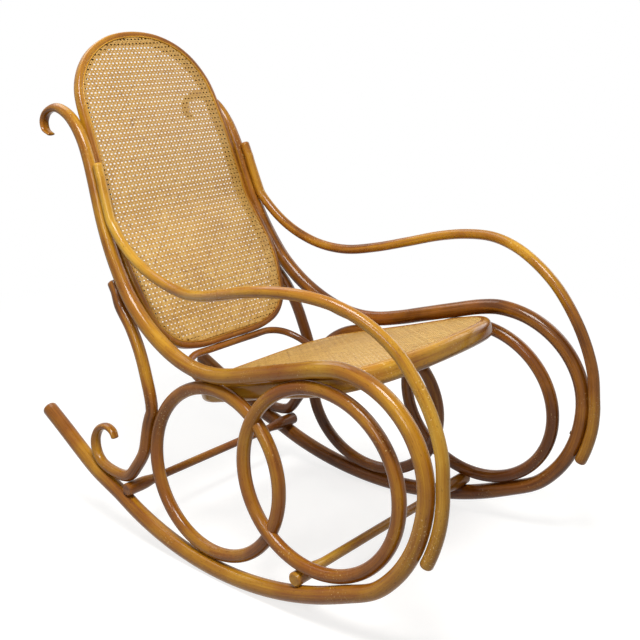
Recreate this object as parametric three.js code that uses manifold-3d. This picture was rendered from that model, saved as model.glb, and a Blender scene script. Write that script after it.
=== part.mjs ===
import * as THREE from "three";
import { mergeVertices } from "three/addons/utils/BufferGeometryUtils.js";
import Module from "manifold-3d";

// A bentwood rocking chair with a caned seat and back. Millimetres, z up, the sitter faces -y.
// Each side frame is bent in one plane. The two planes spread towards the front and the floor.

const wasm = await Module();
wasm.setup();

// Air left between two pieces that touch, and how far a rod is let into a frame that it crosses
const gap = 0.3;
const letIn = 0.8;

// Side frames
const sideDepth = 1000;
const hookHeight = 867;
const floorSpacing = 540;
const toe = THREE.MathUtils.degToRad(2.46);
const camber = THREE.MathUtils.degToRad(3.1);
const runnerBend = 735;
const wearFlat = 0.4;

// Radii of the rods
const runnerRadius = 16.5;
const loopRadius = 15;
const railRadius = 15.5;
const postRadius = 12.5;
const armRadius = 10.2;
const armFootRadius = 12;
const ringRadius = 13;
const strutRadius = 12.5;
const braceRadius = 7.5;

// Rings: how far each one lies inside the plane of its side frame, and how the front one turns in
const frontRingInset = 3;
const frontRingTurn = 0.035;
const rearRingInset = 5;
const frontRingWidthShare = 1.045;
const rearRingWidthShare = 1.035;

// Arms and scroll struts
const armBow = 60;
const armFootInset = 8;
const scrollRadius = 46;

// Turned stretchers
const stretcherEndRadius = 14;
const frontStretcherWaist = 9.5;
const rearStretcherWaist = 9;
const stretcherOverhang = 12;
const stretcherSwell = 92;
const stretcherBarrel = 40;
const stretcherChamfer = 3;

// Seat and back frames: width across the rod, thickness, and the groove that holds the cane
const seat = {
  depth: 519,
  width: 42,
  thick: 37,
  landRoom: 0.4,
  round: 11,
  sideRoom: 6,
  grooveSet: 13,
  grooveWidth: 6,
  grooveDepth: 8,
  columns: 6,
  rows: 6,
};
const back = {
  depth: 694,
  width: 25,
  thick: 20,
  setback: 4,
  landRoom: 3.5,
  round: 6,
  grooveSet: 11,
  grooveWidth: 5.6,
  grooveDepth: 7,
  columns: 6,
  rows: 10,
};
const sheetThick = 1.8;
const lipThick = 1.5;
const reedProud = 0.8;
const caneRim = 10;
const caneBarShare = 0.36;

// Screws
const screwRadius = 2.2;
const screwHeadRadius = 4.2;
const screwHead = 2.6;
const screwSink = 1.5;
const screwBite = 9;

// Facets
const longRodSides = 8;
const rodSides = 8;
const turnedSides = 12;
const screwSides = 6;
const ringSteps = 28;
const cornerSteps = 2;

// Shares of sideDepth and hookHeight, with y = 0 near the place where the runner touches the floor
const runnerLowShare = -0.02;
const runnerEndShares = [-0.33, 0.29];
const runnerTipShares = [
  [0.535, 0.2385],
  [0.475, 0.2],
  [0.42, 0.1635],
  [0.365, 0.1295],
];
const lowerLoopShares = { y: -0.27, z: 0.357, acrossY: 0.221, acrossZ: 0.272 };
const upperLoopShares = { y: -0.306, z: 0.357, acrossY: 0.185, acrossZ: 0.201 };
const railShares = [
  [-0.306, 0.558],
  [-0.262, 0.551],
  [-0.2, 0.531],
  [-0.13, 0.507],
  [-0.06, 0.483],
  [0, 0.468],
  [0.051, 0.466],
  [0.102, 0.4765],
  [0.156, 0.501],
  [0.209, 0.5385],
];
const postShares = [
  [0.254, 0.586],
  [0.2865, 0.637],
  [0.314, 0.691],
  [0.3355, 0.744],
  [0.353, 0.798],
  [0.368, 0.8475],
  [0.383, 0.892],
  [0.402, 0.934],
];
// The hook is beaten flat towards its tip: y, z, half width across the plane, half thickness in it
const hookShares = [
  [0.43, 0.972, 1, 0.98],
  [0.456, 0.991, 0.98, 0.9],
  [0.486, 1, 0.96, 0.76],
  [0.508, 0.995, 0.94, 0.62],
  [0.525, 0.982, 0.92, 0.5],
  [0.532, 0.963, 0.88, 0.4],
  [0.526, 0.945, 0.84, 0.32],
  [0.509, 0.936, 0.76, 0.26],
];
const armTopLapShares = [0.87, 0.851, 0.832];
// y, z, and how far out of the plane as a share of armBow
const armShares = [
  [0.342, 0.8, 0],
  [0.318, 0.762, 0],
  [0.287, 0.722, 0],
  [0.245, 0.684, 0],
  [0.195, 0.656, 0],
  [0.14, 0.639, 0.02],
  [0.08, 0.634, 0.16],
  [0.015, 0.645, 0.44],
  [-0.055, 0.665, 0.74],
  [-0.125, 0.687, 0.95],
  [-0.19, 0.701, 1],
  [-0.255, 0.706, 0.88],
  [-0.315, 0.696, 0.6],
  [-0.37, 0.67, 0.34],
  [-0.42, 0.629, 0.14],
  [-0.46, 0.574, 0.02],
  [-0.49, 0.515, -0.07],
  [-0.51, 0.45, -0.12],
];
const armFootLapShares = [0.385, 0.33, 0.285, 0.24];
const frontRingShare = -0.255;
const rearRingShare = 0.007;
const rearStretcherShare = 0.267;
const strutTopLapShares = [0.63, 0.614];
const strutShares = [
  [0.284, 0.563],
  [0.252, 0.52],
  [0.226, 0.472],
  [0.207, 0.42],
];
const strutRingLapDegrees = [24, 8];
const strutBendShares = [
  [0.21, 0.228],
  [0.231, 0.188],
];
const scrollFootShare = 0.352;
// Turn round the scroll in degrees, radius as a share of scrollRadius, rod radii as shares of strutRadius
const scrollTurns = [
  [0, 1, 0.94, 0.8],
  [38, 1, 0.93, 0.76],
  [76, 1, 0.92, 0.71],
  [114, 0.99, 0.9, 0.65],
  [150, 0.96, 0.86, 0.58],
  [178, 0.86, 0.8, 0.5],
  [196, 0.72, 0.7, 0.42],
];

// Outline of the seat frame: shares of its half width and of its depth, from the rear to the front
const seatRearShare = 0.141;
const seatRestShares = [-0.24, -0.11];
const seatOutlineShares = [
  [0, 0],
  [0.38, 0.003],
  [0.6, 0.021],
  [0.74, 0.054],
  [0.84, 0.102],
  [0.898, 0.16],
  [0.92, 0.235],
  [0.926, 0.31],
  [0.934, 0.42],
  [0.952, 0.53],
  [0.985, 0.625],
  [1, 0.7],
  [0.992, 0.77],
  [0.94, 0.84],
  [0.82, 0.902],
  [0.65, 0.946],
  [0.38, 0.971],
  [0, 0.98],
];
const seatShoulderShare = 0.7;
const frontSeatScrewShare = -0.1;
const rearSeatScrewShare = 0.055;
const seatScrewRiseShares = [0.8, 0.3];

// The back frame follows the posts and then runs on above them
const backFootShares = [
  [0.2, 0.438],
  [0.228, 0.512],
  [0.258, 0.588],
  [0.302, 0.678],
];
const backPostShares = [0.75, 0.819, 0.888];
const backHeadShares = [
  [0.405, 0.946],
  [0.426, 1],
  [0.447, 1.054],
  [0.467, 1.11],
  [0.49, 1.172],
];
const backFootOutlineShares = [
  [0, 0],
  [0.43, 0.003],
  [0.69, 0.028],
  [0.86, 0.084],
  [0.955, 0.175],
];
const backSideShares = [0.27, 0.36, 0.45, 0.54, 0.63, 0.71];
const backCrownShare = 0.75;
const crownPowerShare = 0.94;
const crownDegrees = [14, 28, 42, 56, 72];
const backScrewShares = [0.36, 0.63];

const braceSpanShares = [0.26, 0.46, 0.58, 0.645];
const braceDropShares = [0, 0.02, 0.22, 0.6];
const braceFootShare = 0.66;
const braceInset = 14;

// Geometry and solids

function solidOf(geometry) {
  const bare = geometry.clone();
  Object.keys(bare.attributes).forEach((name) => name !== "position" && bare.deleteAttribute(name));
  const merged = mergeVertices(bare);
  const corners = merged.index.array;
  const kept = [];
  for (let i = 0; i < corners.length; i += 3) {
    const [a, b, c] = [corners[i], corners[i + 1], corners[i + 2]];
    if (a !== b && b !== c && c !== a) kept.push(a, b, c);
  }
  return new wasm.Manifold(
    new wasm.Mesh({
      numProp: 3,
      vertProperties: new Float32Array(merged.attributes.position.array),
      triVerts: new Uint32Array(kept),
    }),
  );
}

function geometryOf(solid) {
  const mesh = solid.getMesh();
  const geometry = new THREE.BufferGeometry();
  geometry.setAttribute("position", new THREE.BufferAttribute(new Float32Array(mesh.vertProperties), 3));
  geometry.setIndex(new THREE.BufferAttribute(new Uint32Array(mesh.triVerts), 1));
  geometry.computeVertexNormals();
  return geometry;
}

function cut(geometry, tools) {
  return geometryOf(tools.reduce((rest, tool) => rest.subtract(solidOf(tool)), solidOf(geometry)));
}

function common(one, other) {
  return geometryOf(solidOf(one).intersect(solidOf(other)));
}

function moved(geometry, matrix) {
  return geometry.clone().applyMatrix4(matrix);
}

// A closed skin over rings of points, with its faces turned outwards
function skin(rings, closed) {
  const sides = rings[0].length;
  const points = rings.flat();
  const faces = [];
  const spans = closed ? rings.length : rings.length - 1;
  for (let i = 0; i < spans; i += 1) {
    for (let j = 0; j < sides; j += 1) {
      const a = i * sides + j;
      const b = i * sides + ((j + 1) % sides);
      const next = ((i + 1) % rings.length) * sides;
      const c = next + ((j + 1) % sides);
      const d = next + j;
      faces.push([a, b, c], [a, c, d]);
    }
  }
  if (!closed) {
    [0, rings.length - 1].forEach((i) => {
      const centre = rings[i].reduce((sum, p) => sum.add(p), new THREE.Vector3()).divideScalar(sides);
      points.push(centre);
      for (let j = 0; j < sides; j += 1) {
        const edge = [i * sides + j, i * sides + ((j + 1) % sides)];
        faces.push([points.length - 1, ...(i ? edge : edge.reverse())]);
      }
    });
  }
  const geometry = new THREE.BufferGeometry().setFromPoints(points);
  geometry.setIndex(faces.flat());
  return facingOut(geometry);
}

// Turns the faces of a closed geometry outwards, where they point in
function facingOut(geometry) {
  const corners = Array.from(geometry.index.array);
  const place = (i) => new THREE.Vector3().fromBufferAttribute(geometry.attributes.position, i);
  let volume = 0;
  for (let i = 0; i < corners.length; i += 3) {
    const [a, b, c] = corners.slice(i, i + 3).map(place);
    volume += a.dot(b.cross(c));
  }
  geometry.setIndex(volume < 0 ? corners.reverse() : corners);
  geometry.computeVertexNormals();
  return geometry;
}

// Rods

// Stations along a smooth line through control points, each with the rod's half width and half depth
function stationsThrough(controls, perSpan, closed = false) {
  const curve = new THREE.CatmullRomCurve3(
    controls.map((c) => c.at),
    closed,
    "centripetal",
  );
  const spans = closed ? controls.length : controls.length - 1;
  const count = spans * perSpan + (closed ? 0 : 1);
  return Array.from({ length: count }, (_, i) => {
    const place = i / perSpan;
    const from = controls[Math.min(Math.floor(place), controls.length - 1)];
    const to = controls[(Math.floor(place) + 1) % controls.length];
    const share = place % 1;
    return {
      at: curve.getPoint(i / (spans * perSpan)),
      wide: THREE.MathUtils.lerp(from.wide, share ? to.wide : from.wide, share),
      deep: THREE.MathUtils.lerp(from.deep, share ? to.deep : from.deep, share),
      stretch: from.stretch,
    };
  });
}

// A rod through stations, with rounded ends and its facets at the given radii; `extra` grows it all round
function rod(stations, { sides = rodSides, closed = false, extra = 0, endShare = 0.5 } = {}) {
  const count = stations.length;
  const across = new THREE.Vector3(1, 0, 0);
  const frames = stations.map((station, i) => {
    const before = stations[closed ? (i + count - 1) % count : Math.max(i - 1, 0)].at;
    const after = stations[closed ? (i + 1) % count : Math.min(i + 1, count - 1)].at;
    const along = new THREE.Vector3().subVectors(after, before).normalize();
    const depth = new THREE.Vector3().crossVectors(along, station.across ?? across).normalize();
    const width = new THREE.Vector3().crossVectors(depth, along);
    return { ...station, along, depth, width };
  });
  const toCorner = 1 / Math.cos(Math.PI / sides);
  const ring = (frame, shift, share) =>
    Array.from({ length: sides }, (_, j) => {
      const reach = share * toCorner;
      const turn = ((j + 0.5) / sides) * 2 * Math.PI;
      return frame.at
        .clone()
        .addScaledVector(frame.along, shift)
        .addScaledVector(frame.width, Math.cos(turn) * (frame.wide + extra) * reach)
        .addScaledVector(frame.depth, Math.sin(turn) * (frame.deep + extra) * reach);
    });
  const rings = frames.map((frame) => ring(frame, 0, 1));
  if (!closed) {
    [55, 85].forEach((degrees) => {
      const turn = THREE.MathUtils.degToRad(degrees);
      const [first, last] = [frames[0], frames[count - 1]];
      rings.unshift(ring(first, -(first.deep + extra) * endShare * Math.sin(turn), Math.cos(turn)));
      rings.push(ring(last, (last.deep + extra) * endShare * Math.sin(turn), Math.cos(turn)));
    });
  }
  return skin(rings, closed);
}

const inPlane = (y, z, across = 0) => new THREE.Vector3(across, y, z);
const control = (at, wide, deep = wide, stretch = "") => ({ at, wide, deep, stretch });
const byShares = ([y, z], across = 0) => inPlane(y * sideDepth, z * hookHeight, across);

// The long rod: runner, loop, seat rail, post and hook

function longRodControls() {
  const runnerRest = (runnerRadius - wearFlat) / Math.cos(camber);
  const lowest = runnerLowShare * sideDepth;
  const onRunner = (y) => runnerRest + runnerBend - Math.sqrt(runnerBend ** 2 - (y - lowest) ** 2);
  const controls = runnerTipShares.map((p) => control(byShares(p), runnerRadius, runnerRadius, "runner"));
  const [front, rear] = runnerEndShares.map((share) => share * sideDepth);
  const runnerSpans = 10;
  for (let i = 0; i <= runnerSpans; i += 1) {
    const y = THREE.MathUtils.lerp(rear, front, i / runnerSpans);
    controls.push(control(inPlane(y, onRunner(y)), runnerRadius, runnerRadius, "runner"));
  }
  const quarter = (shares, up, degrees) =>
    degrees.forEach((angle) => {
      const turn = THREE.MathUtils.degToRad(angle);
      const y = shares.y - shares.acrossY * Math.cos(turn);
      const z = shares.z + up * shares.acrossZ * Math.sin(turn);
      controls.push(control(byShares([y, z]), loopRadius, loopRadius, "loop"));
    });
  quarter(lowerLoopShares, -1, [56, 44, 31, 17]);
  quarter(upperLoopShares, 1, [0, 18, 36, 54, 72]);
  railShares.forEach((p) => controls.push(control(byShares(p), railRadius, railRadius, "rail")));
  postShares.forEach((p, i) => {
    const radius = THREE.MathUtils.lerp(railRadius, postRadius, (i + 1) / postShares.length);
    controls.push(control(byShares(p), radius, radius, "post"));
  });
  hookShares.forEach(([y, z, wide, deep]) =>
    controls.push(control(byShares([y, z]), wide * postRadius, deep * postRadius, "hook")),
  );
  return controls;
}

const longRod = stationsThrough(longRodControls(), 2);
const longLine = stationsThrough(longRodControls(), 12);

// The place where a stretch of a line reaches a value of y or z, with the normal on its outer side
function reach(line, stretch, axis, value) {
  for (let i = 1; i < line.length; i += 1) {
    const [a, b] = [line[i - 1], line[i]];
    if (a.stretch === stretch && (a.at[axis] - value) * (b.at[axis] - value) <= 0) {
      const share = (value - a.at[axis]) / (b.at[axis] - a.at[axis] || 1);
      const along = new THREE.Vector3().subVectors(b.at, a.at).normalize();
      const outward = inPlane(-along.z, along.y);
      return { at: a.at.clone().lerp(b.at, share), deep: a.deep, outward };
    }
  }
  throw new Error(`the ${stretch} never reaches ${axis} = ${value}`);
}

// Beside a line, on its outer side or its inner one, just clear of it
function beside(place, radius, outer) {
  const distance = place.deep + radius + gap;
  return place.at.clone().addScaledVector(place.outward, outer ? distance : -distance);
}

// The least distance in the plane from a point to a line, less the sum of the radii there
function nearest(point, line, radius) {
  let best = { clear: Infinity };
  for (let i = 1; i < line.length; i += 1) {
    const [a, b] = [line[i - 1], line[i]];
    const [dy, dz] = [b.at.y - a.at.y, b.at.z - a.at.z];
    const along = ((point.y - a.at.y) * dy + (point.z - a.at.z) * dz) / (dy * dy + dz * dz || 1);
    const share = THREE.MathUtils.clamp(along, 0, 1);
    const foot = inPlane(a.at.y + dy * share, a.at.z + dz * share);
    const away = inPlane(point.y - foot.y, point.z - foot.z);
    const clear = away.length() - a.deep - radius - gap;
    if (clear < best.clear) best = { clear, away };
  }
  return best;
}

// Stations pushed sideways until they are clear of each line
function clearOf(stations, lines) {
  const passes = 3;
  for (let pass = 0; pass < passes; pass += 1) {
    stations.forEach((station) => {
      lines.forEach((line) => {
        const { clear, away } = nearest(station.at, line, station.deep);
        if (clear < 0) station.at.addScaledVector(away.normalize(), -clear);
      });
    });
  }
  return stations;
}

// Rings, grown and moved until they touch the rail above and the runner below

function ringStations({ centre, height, widthShare, inset, turnIn }, steps) {
  return Array.from({ length: steps }, (_, i) => {
    const turn = (i / steps) * 2 * Math.PI;
    const y = height * widthShare * Math.cos(turn);
    const at = inPlane(centre.y + y, centre.z + height * Math.sin(turn), turnIn * y - inset);
    return { at, wide: ringRadius, deep: ringRadius };
  });
}

function seatedRing(centreShare, widthShare, inset, turnIn) {
  const rail = reach(longLine, "rail", "y", Math.max(centreShare, railShares[0][0]) * sideDepth);
  const centre = inPlane(centreShare * sideDepth, rail.at.z / 2);
  let height = rail.at.z / 2 - ringRadius - railRadius;
  const passes = 60;
  const fineSteps = 120;
  for (let pass = 0; pass < passes; pass += 1) {
    const ring = ringStations({ centre, height, widthShare, inset, turnIn }, fineSteps);
    const least = (part) => Math.min(...part.map((s) => nearest(s.at, longLine, ringRadius).clear));
    const above = least(ring.filter((s) => s.at.z > centre.z));
    const below = least(ring.filter((s) => s.at.z < centre.z));
    height += (above + below) / 4;
    centre.z += (above - below) / 4;
  }
  return { centre, height, widthShare, inset, turnIn };
}

const closedLine = (ring) => [...ringStations(ring, 120), ringStations(ring, 120)[0]];
const frontRing = seatedRing(frontRingShare, frontRingWidthShare, frontRingInset, frontRingTurn);
const rearRing = seatedRing(rearRingShare, rearRingWidthShare, rearRingInset, 0);

// Stations pushed straight out from the middle of a ring until they are clear of it
function outsideRing(stations, ring) {
  stations.forEach((station) => {
    const ray = inPlane(station.at.y - ring.centre.y, station.at.z - ring.centre.z);
    const turn = Math.atan2(ray.z, ray.y / ring.widthShare);
    const reachOut = ring.height * Math.hypot(ring.widthShare * Math.cos(turn), Math.sin(turn));
    const clear = ray.length() - reachOut - ringRadius - station.deep - 2 * gap;
    if (clear < 0) station.at.addScaledVector(ray.normalize(), -clear);
  });
  return stations;
}

// Stretchers rest on the runner; the front one is wedged under its ring

function onRunner(y) {
  return beside(reach(longLine, "runner", "y", y), stretcherEndRadius, false);
}

function wedgedUnder(ring) {
  const line = closedLine(ring);
  const step = 1 / 1000;
  let y = ring.centre.y;
  while (nearest(onRunner(y), line, stretcherEndRadius).clear < 0) y += step * sideDepth;
  return onRunner(y);
}

const frontStretcherAt = wedgedUnder(frontRing);
const rearStretcherAt = onRunner(rearStretcherShare * sideDepth);

// Arms lap the front of the post and the front of the loop, and bow outwards between

function armStations() {
  const at = [
    ...armTopLapShares.map((z) => beside(reach(longLine, "post", "z", z * hookHeight), armRadius, true)),
    ...armShares.map(([y, z, out]) => byShares([y, z], out * armBow)),
    ...armFootLapShares.map((z) => {
      return beside(reach(longLine, "loop", "z", z * hookHeight), armFootRadius, true).setX(-armFootInset);
    }),
  ];
  const controls = at.map((p, i) => {
    return control(p, THREE.MathUtils.lerp(armRadius, armFootRadius, Math.max(2 * (i / (at.length - 1)) - 1, 0)));
  });
  return clearOf(stationsThrough(controls, 2), [longLine]);
}

// Scroll struts run from behind the post past the rear ring and over the stretcher into a scroll

function strutStations() {
  const ringLap = strutRingLapDegrees.map((degrees) => {
    const turn = THREE.MathUtils.degToRad(degrees);
    const along = inPlane(Math.cos(turn) * rearRing.widthShare, Math.sin(turn));
    const distance = ringRadius + strutRadius + gap;
    const onRing = rearRing.centre.clone().addScaledVector(along, rearRing.height);
    return onRing.addScaledVector(along.normalize(), distance);
  });
  const foot = reach(longLine, "runner", "y", scrollFootShare * sideDepth);
  const centre = beside({ ...foot, deep: foot.deep + scrollTurns[0][3] * strutRadius + gap }, scrollRadius, false);
  const down = Math.atan2(foot.outward.z, foot.outward.y);
  const scroll = scrollTurns.map(([degrees, radius, wide, deep]) => {
    const turn = down + THREE.MathUtils.degToRad(degrees);
    const arm = scrollRadius * radius;
    const at = centre.clone().add(inPlane(arm * Math.cos(turn), arm * Math.sin(turn)));
    return control(at, wide * strutRadius, deep * strutRadius);
  });
  const overStretcher = rearStretcherAt.clone().addScaledVector(
    inPlane(Math.cos(THREE.MathUtils.degToRad(70)), Math.sin(THREE.MathUtils.degToRad(70))),
    stretcherEndRadius + strutRadius + gap,
  );
  const points = [
    ...strutTopLapShares.map((z) => beside(reach(longLine, "post", "z", z * hookHeight), strutRadius, false)),
    ...strutShares.map((p) => byShares(p)),
    ...ringLap,
    ...strutBendShares.map((p) => byShares(p)),
    overStretcher,
  ];
  const controls = [...points.map((p) => control(p, strutRadius)), ...scroll];
  const stretcher = { at: rearStretcherAt, deep: stretcherEndRadius };
  const stations = outsideRing(stationsThrough(controls, 2), rearRing);
  return outsideRing(clearOf(stations, [longLine, [stretcher, stretcher]]), rearRing);
}

// The place of a side frame in the chair

const leftPlace = new THREE.Group();
leftPlace.position.x = floorSpacing / 2;
leftPlace.rotation.set(0, -camber, toe, "ZYX");
leftPlace.updateMatrixWorld(true);
const toChair = leftPlace.matrixWorld;
const toSide = toChair.clone().invert();
const chairPoint = (local) => local.clone().applyMatrix4(toChair);

// Distance from the middle of the chair to the plane of a side frame
function halfSpacing(y, z) {
  const normal = new THREE.Vector3().setFromMatrixColumn(toChair, 0);
  return (normal.x * leftPlace.position.x - normal.y * y - normal.z * z) / normal.x;
}

// Framed cane panels, laid out flat as x, distance s along the panel, and height b above its face

function outlineLine(half, steps) {
  const mirrored = half
    .slice(1, -1)
    .reverse()
    .map(([x, s]) => [-x, s]);
  const curve = new THREE.CatmullRomCurve3(
    [...half, ...mirrored].map(([x, s]) => new THREE.Vector3(x, s, 0)),
    true,
    "centripetal",
  );
  const points = Array.from({ length: steps }, (_, i) => curve.getPoint(i / steps));
  return points.map((at, i) => {
    const before = points[(i + steps - 1) % steps];
    const after = points[(i + 1) % steps];
    const along = new THREE.Vector3().subVectors(after, before).normalize();
    return { at, out: new THREE.Vector3(along.y, -along.x, 0) };
  });
}

const offsetPoint = ({ at, out }, a, b = 0) => at.clone().addScaledVector(out, a).setZ(b);

function loopOf(outline, section, bend) {
  return skin(
    outline.map((place) => section.map(([a, b]) => bend(offsetPoint(place, a, b)))),
    true,
  );
}

// Section of a frame, from its outer edge (a = 0) inwards and from its face (b = 0) down
function frameSection(f) {
  const groove = f.grooveSet + f.grooveWidth;
  const land = -sheetThick - f.landRoom;
  const corner = (centreB, from) =>
    Array.from({ length: cornerSteps + 1 }, (_, i) => {
      const turn = from + ((i / cornerSteps) * Math.PI) / 2;
      return [-f.round + f.round * Math.cos(turn), centreB + f.round * Math.sin(turn)];
    });
  return [
    ...corner(-f.thick + f.round, -Math.PI / 2),
    ...corner(-f.round, 0),
    [-f.grooveSet, 0],
    [-f.grooveSet, -f.grooveDepth],
    [-groove, -f.grooveDepth],
    [-groove, land],
    [-f.width, land],
    [-f.width, -f.thick],
  ];
}

function panel(f, outline, bend) {
  const wall = -f.grooveSet - f.grooveWidth;
  const lip = [wall + gap, wall + gap + lipThick];
  const reed = [lip[1] + gap, -f.grooveSet - gap];
  const floor = -f.grooveDepth + gap;
  const frame = loopOf(outline, frameSection(f), bend);
  const lipLoop = loopOf(
    outline,
    [
      [lip[0], floor],
      [lip[1], floor],
      [lip[1], -sheetThick / 2],
      [lip[0], -sheetThick / 2],
    ],
    (flat) => flat,
  );
  const spline = loopOf(
    outline,
    [
      [reed[0], floor],
      [reed[1], floor],
      [reed[1], 0],
      [(reed[0] + reed[1]) / 2, reedProud],
      [reed[0], 0],
    ],
    bend,
  );
  const shape = new THREE.Shape(outline.map((place) => offsetPoint(place, lip[1])));
  const whole = new THREE.ExtrudeGeometry(shape, { depth: sheetThick, bevelEnabled: false });
  whole.translate(0, 0, -sheetThick);
  const border = outline.map((place) => offsetPoint(place, -f.width - caneRim));
  const lipped = geometryOf(solidOf(whole).add(solidOf(lipLoop)));
  const cane = bendGeometry(cut(lipped, netGaps(f, border)), bend);
  return { frame, cane, spline };
}

function bendGeometry(geometry, bend) {
  const places = geometry.attributes.position;
  for (let i = 0; i < places.count; i += 1) {
    const p = bend(new THREE.Vector3().fromBufferAttribute(places, i));
    places.setXYZ(i, p.x, p.y, p.z);
  }
  return facingOut(geometry);
}

// Square gaps of the cane, where a whole gap fits inside the border
function netGaps(f, border) {
  const box = new THREE.Box3().setFromPoints(border);
  const size = box.getSize(new THREE.Vector3());
  const [stepX, stepS] = [size.x / f.columns, size.y / f.rows];
  const [wide, long] = [stepX * (1 - caneBarShare), stepS * (1 - caneBarShare)];
  const inside = (x, s) =>
    border.reduce((odd, p, i) => {
      const q = border[(i + 1) % border.length];
      const crosses = p.y > s !== q.y > s && x < p.x + ((s - p.y) / (q.y - p.y)) * (q.x - p.x);
      return crosses ? !odd : odd;
    }, false);
  const gaps = [];
  for (let i = 0; i < f.columns; i += 1) {
    for (let j = 0; j < f.rows; j += 1) {
      const x = box.min.x + (i + 1 / 2) * stepX;
      const s = box.min.y + (j + 1 / 2) * stepS;
      const corners = [-wide / 2, wide / 2].flatMap((w) => [-long / 2, long / 2].map((l) => [x + w, s + l]));
      if (corners.every(([cx, cs]) => inside(cx, cs))) {
        gaps.push(new THREE.BoxGeometry(wide, long, 3 * sheetThick).translate(x, s, 0));
      }
    }
  }
  return gaps;
}

// The seat hangs just under the rails: its face is parallel to them where it takes their weight

function seatPlane() {
  const [front, rear] = seatRestShares.map((y) => chairPoint(reach(longLine, "rail", "y", y * sideDepth).at));
  const forward = inPlane(front.y - rear.y, front.z - rear.z).normalize();
  const up = inPlane(forward.z, -forward.y);
  const rearY = seatRearShare * sideDepth;
  const drop = railRadius + gap - letIn;
  const origin = inPlane(rearY, rear.z + ((rearY - rear.y) * forward.z) / forward.y);
  origin.addScaledVector(up, -drop);
  return { origin, forward, up };
}

const seatFace = seatPlane();

function seatBend(flat) {
  return seatFace.origin
    .clone()
    .addScaledVector(seatFace.forward, flat.y)
    .addScaledVector(seatFace.up, flat.z)
    .setX(flat.x);
}

const shoulder = seatBend(new THREE.Vector3(0, seatShoulderShare * seat.depth, -seat.thick / 2));
const seatHalfWidth = halfSpacing(shoulder.y, shoulder.z) - seat.sideRoom;
const seatSteps = 44;
const seatOutline = outlineLine(
  seatOutlineShares.map(([x, s]) => [x * seatHalfWidth, s * seat.depth]),
  seatSteps,
);

// The back follows this line in the middle of the chair, taken through the middle of the frame

const backLine = new THREE.CatmullRomCurve3(
  [
    ...backFootShares.map((p) => byShares(p)),
    ...backPostShares.map((z) => {
      const post = reach(longLine, "post", "z", z * hookHeight);
      return chairPoint(post.at.clone().addScaledVector(post.outward, -back.setback)).setX(0);
    }),
    ...backHeadShares.map((p) => byShares(p)),
  ],
  false,
  "centripetal",
);
const backLineLength = backLine.getLength();

function backBend(flat) {
  const share = THREE.MathUtils.clamp(flat.y / backLineLength, 0, 1);
  const along = backLine.getTangentAt(share);
  const normal = inPlane(-along.z, along.y);
  const at = backLine.getPointAt(share).addScaledVector(along, flat.y - share * backLineLength);
  return at.addScaledVector(normal, flat.z + back.thick / 2).setX(flat.x);
}

// Half width of the back frame where it lies against the posts
function backReach(s) {
  const at = backLine.getPointAt(Math.min(s / backLineLength, 1));
  const height = THREE.MathUtils.clamp(at.z / hookHeight, postShares[0][1], hookShares[0][1]);
  const radius = reach(longLine, "post", "z", Math.min(height, postShares.at(-1)[1]) * hookHeight).deep;
  return halfSpacing(at.y, at.z) - radius - gap + letIn;
}

function backOutlineHalf() {
  const crownFrom = backCrownShare * back.depth;
  const crownHalf = backReach(crownFrom);
  return [
    ...backFootOutlineShares.map(([x, s]) => [x * backReach(s * back.depth), s * back.depth]),
    ...backSideShares.map((s) => [backReach(s * back.depth), s * back.depth]),
    ...crownDegrees.map((degrees) => {
      const turn = THREE.MathUtils.degToRad(degrees);
      const x = crownHalf * Math.cos(turn) ** crownPowerShare;
      return [x, crownFrom + (back.depth - crownFrom) * Math.sin(turn) ** crownPowerShare];
    }),
    [0, back.depth],
  ];
}

const backSteps = 52;
const backOutline = outlineLine(backOutlineHalf(), backSteps);

// The brace arches from the seat up to the foot of the back frame

function braceStations() {
  const corner = braceRadius / Math.cos(Math.PI / rodSides);
  const foot = backBend(new THREE.Vector3(0, -corner - gap, -back.thick / 2));
  const seatHalf = seatHalfWidth;
  const footing = seatBend(new THREE.Vector3(0, braceInset, -braceRadius));
  const half = braceSpanShares.map((x, i) => {
    const at = foot.clone().lerp(footing, braceDropShares[i]);
    return at.setX(x * seatHalf);
  });
  half.push(footing.clone().setX(braceFootShare * seatHalf));
  const controls = [...half.map((p) => p.clone().setX(-p.x)).reverse(), ...half];
  const across = new THREE.Vector3().subVectors(foot, footing).setX(0).normalize();
  const facing = new THREE.Vector3(1, 0, 0).cross(across).normalize();
  return stationsThrough(
    controls.map((p) => control(p, braceRadius)),
    2,
  ).map((station) => ({ ...station, across: facing }));
}

// Everything under the face of the seat
function underSeat() {
  const slab = new THREE.BoxGeometry(sideDepth, sideDepth, sideDepth).translate(0, 0, gap - sideDepth / 2);
  return bendGeometry(slab, seatBend);
}

// Turned stretchers

function stretcher(at, waist) {
  const middle = chairPoint(at);
  const half = halfSpacing(middle.y, middle.z) + stretcherOverhang;
  const steps = 5;
  const end = [
    [0, half],
    [stretcherEndRadius - stretcherChamfer, half],
    [stretcherEndRadius, half - stretcherChamfer],
    [stretcherEndRadius, half - stretcherBarrel],
  ];
  for (let i = 1; i <= steps; i += 1) {
    const ease = (1 - Math.cos((i / steps) * Math.PI)) / 2;
    const x = THREE.MathUtils.lerp(half - stretcherBarrel, half - stretcherSwell, i / steps);
    end.push([THREE.MathUtils.lerp(stretcherEndRadius, waist, ease), x]);
  }
  const profile = [...end, ...end.map(([r, x]) => [r, -x]).reverse()];
  const geometry = new THREE.LatheGeometry(
    profile.map(([r, x]) => new THREE.Vector2(r, x)).reverse(),
    turnedSides,
  );
  return geometry.rotateZ(-Math.PI / 2).translate(0, middle.y, middle.z);
}

// Screws: a head in its counterbore and a shank through one piece into the next

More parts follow.
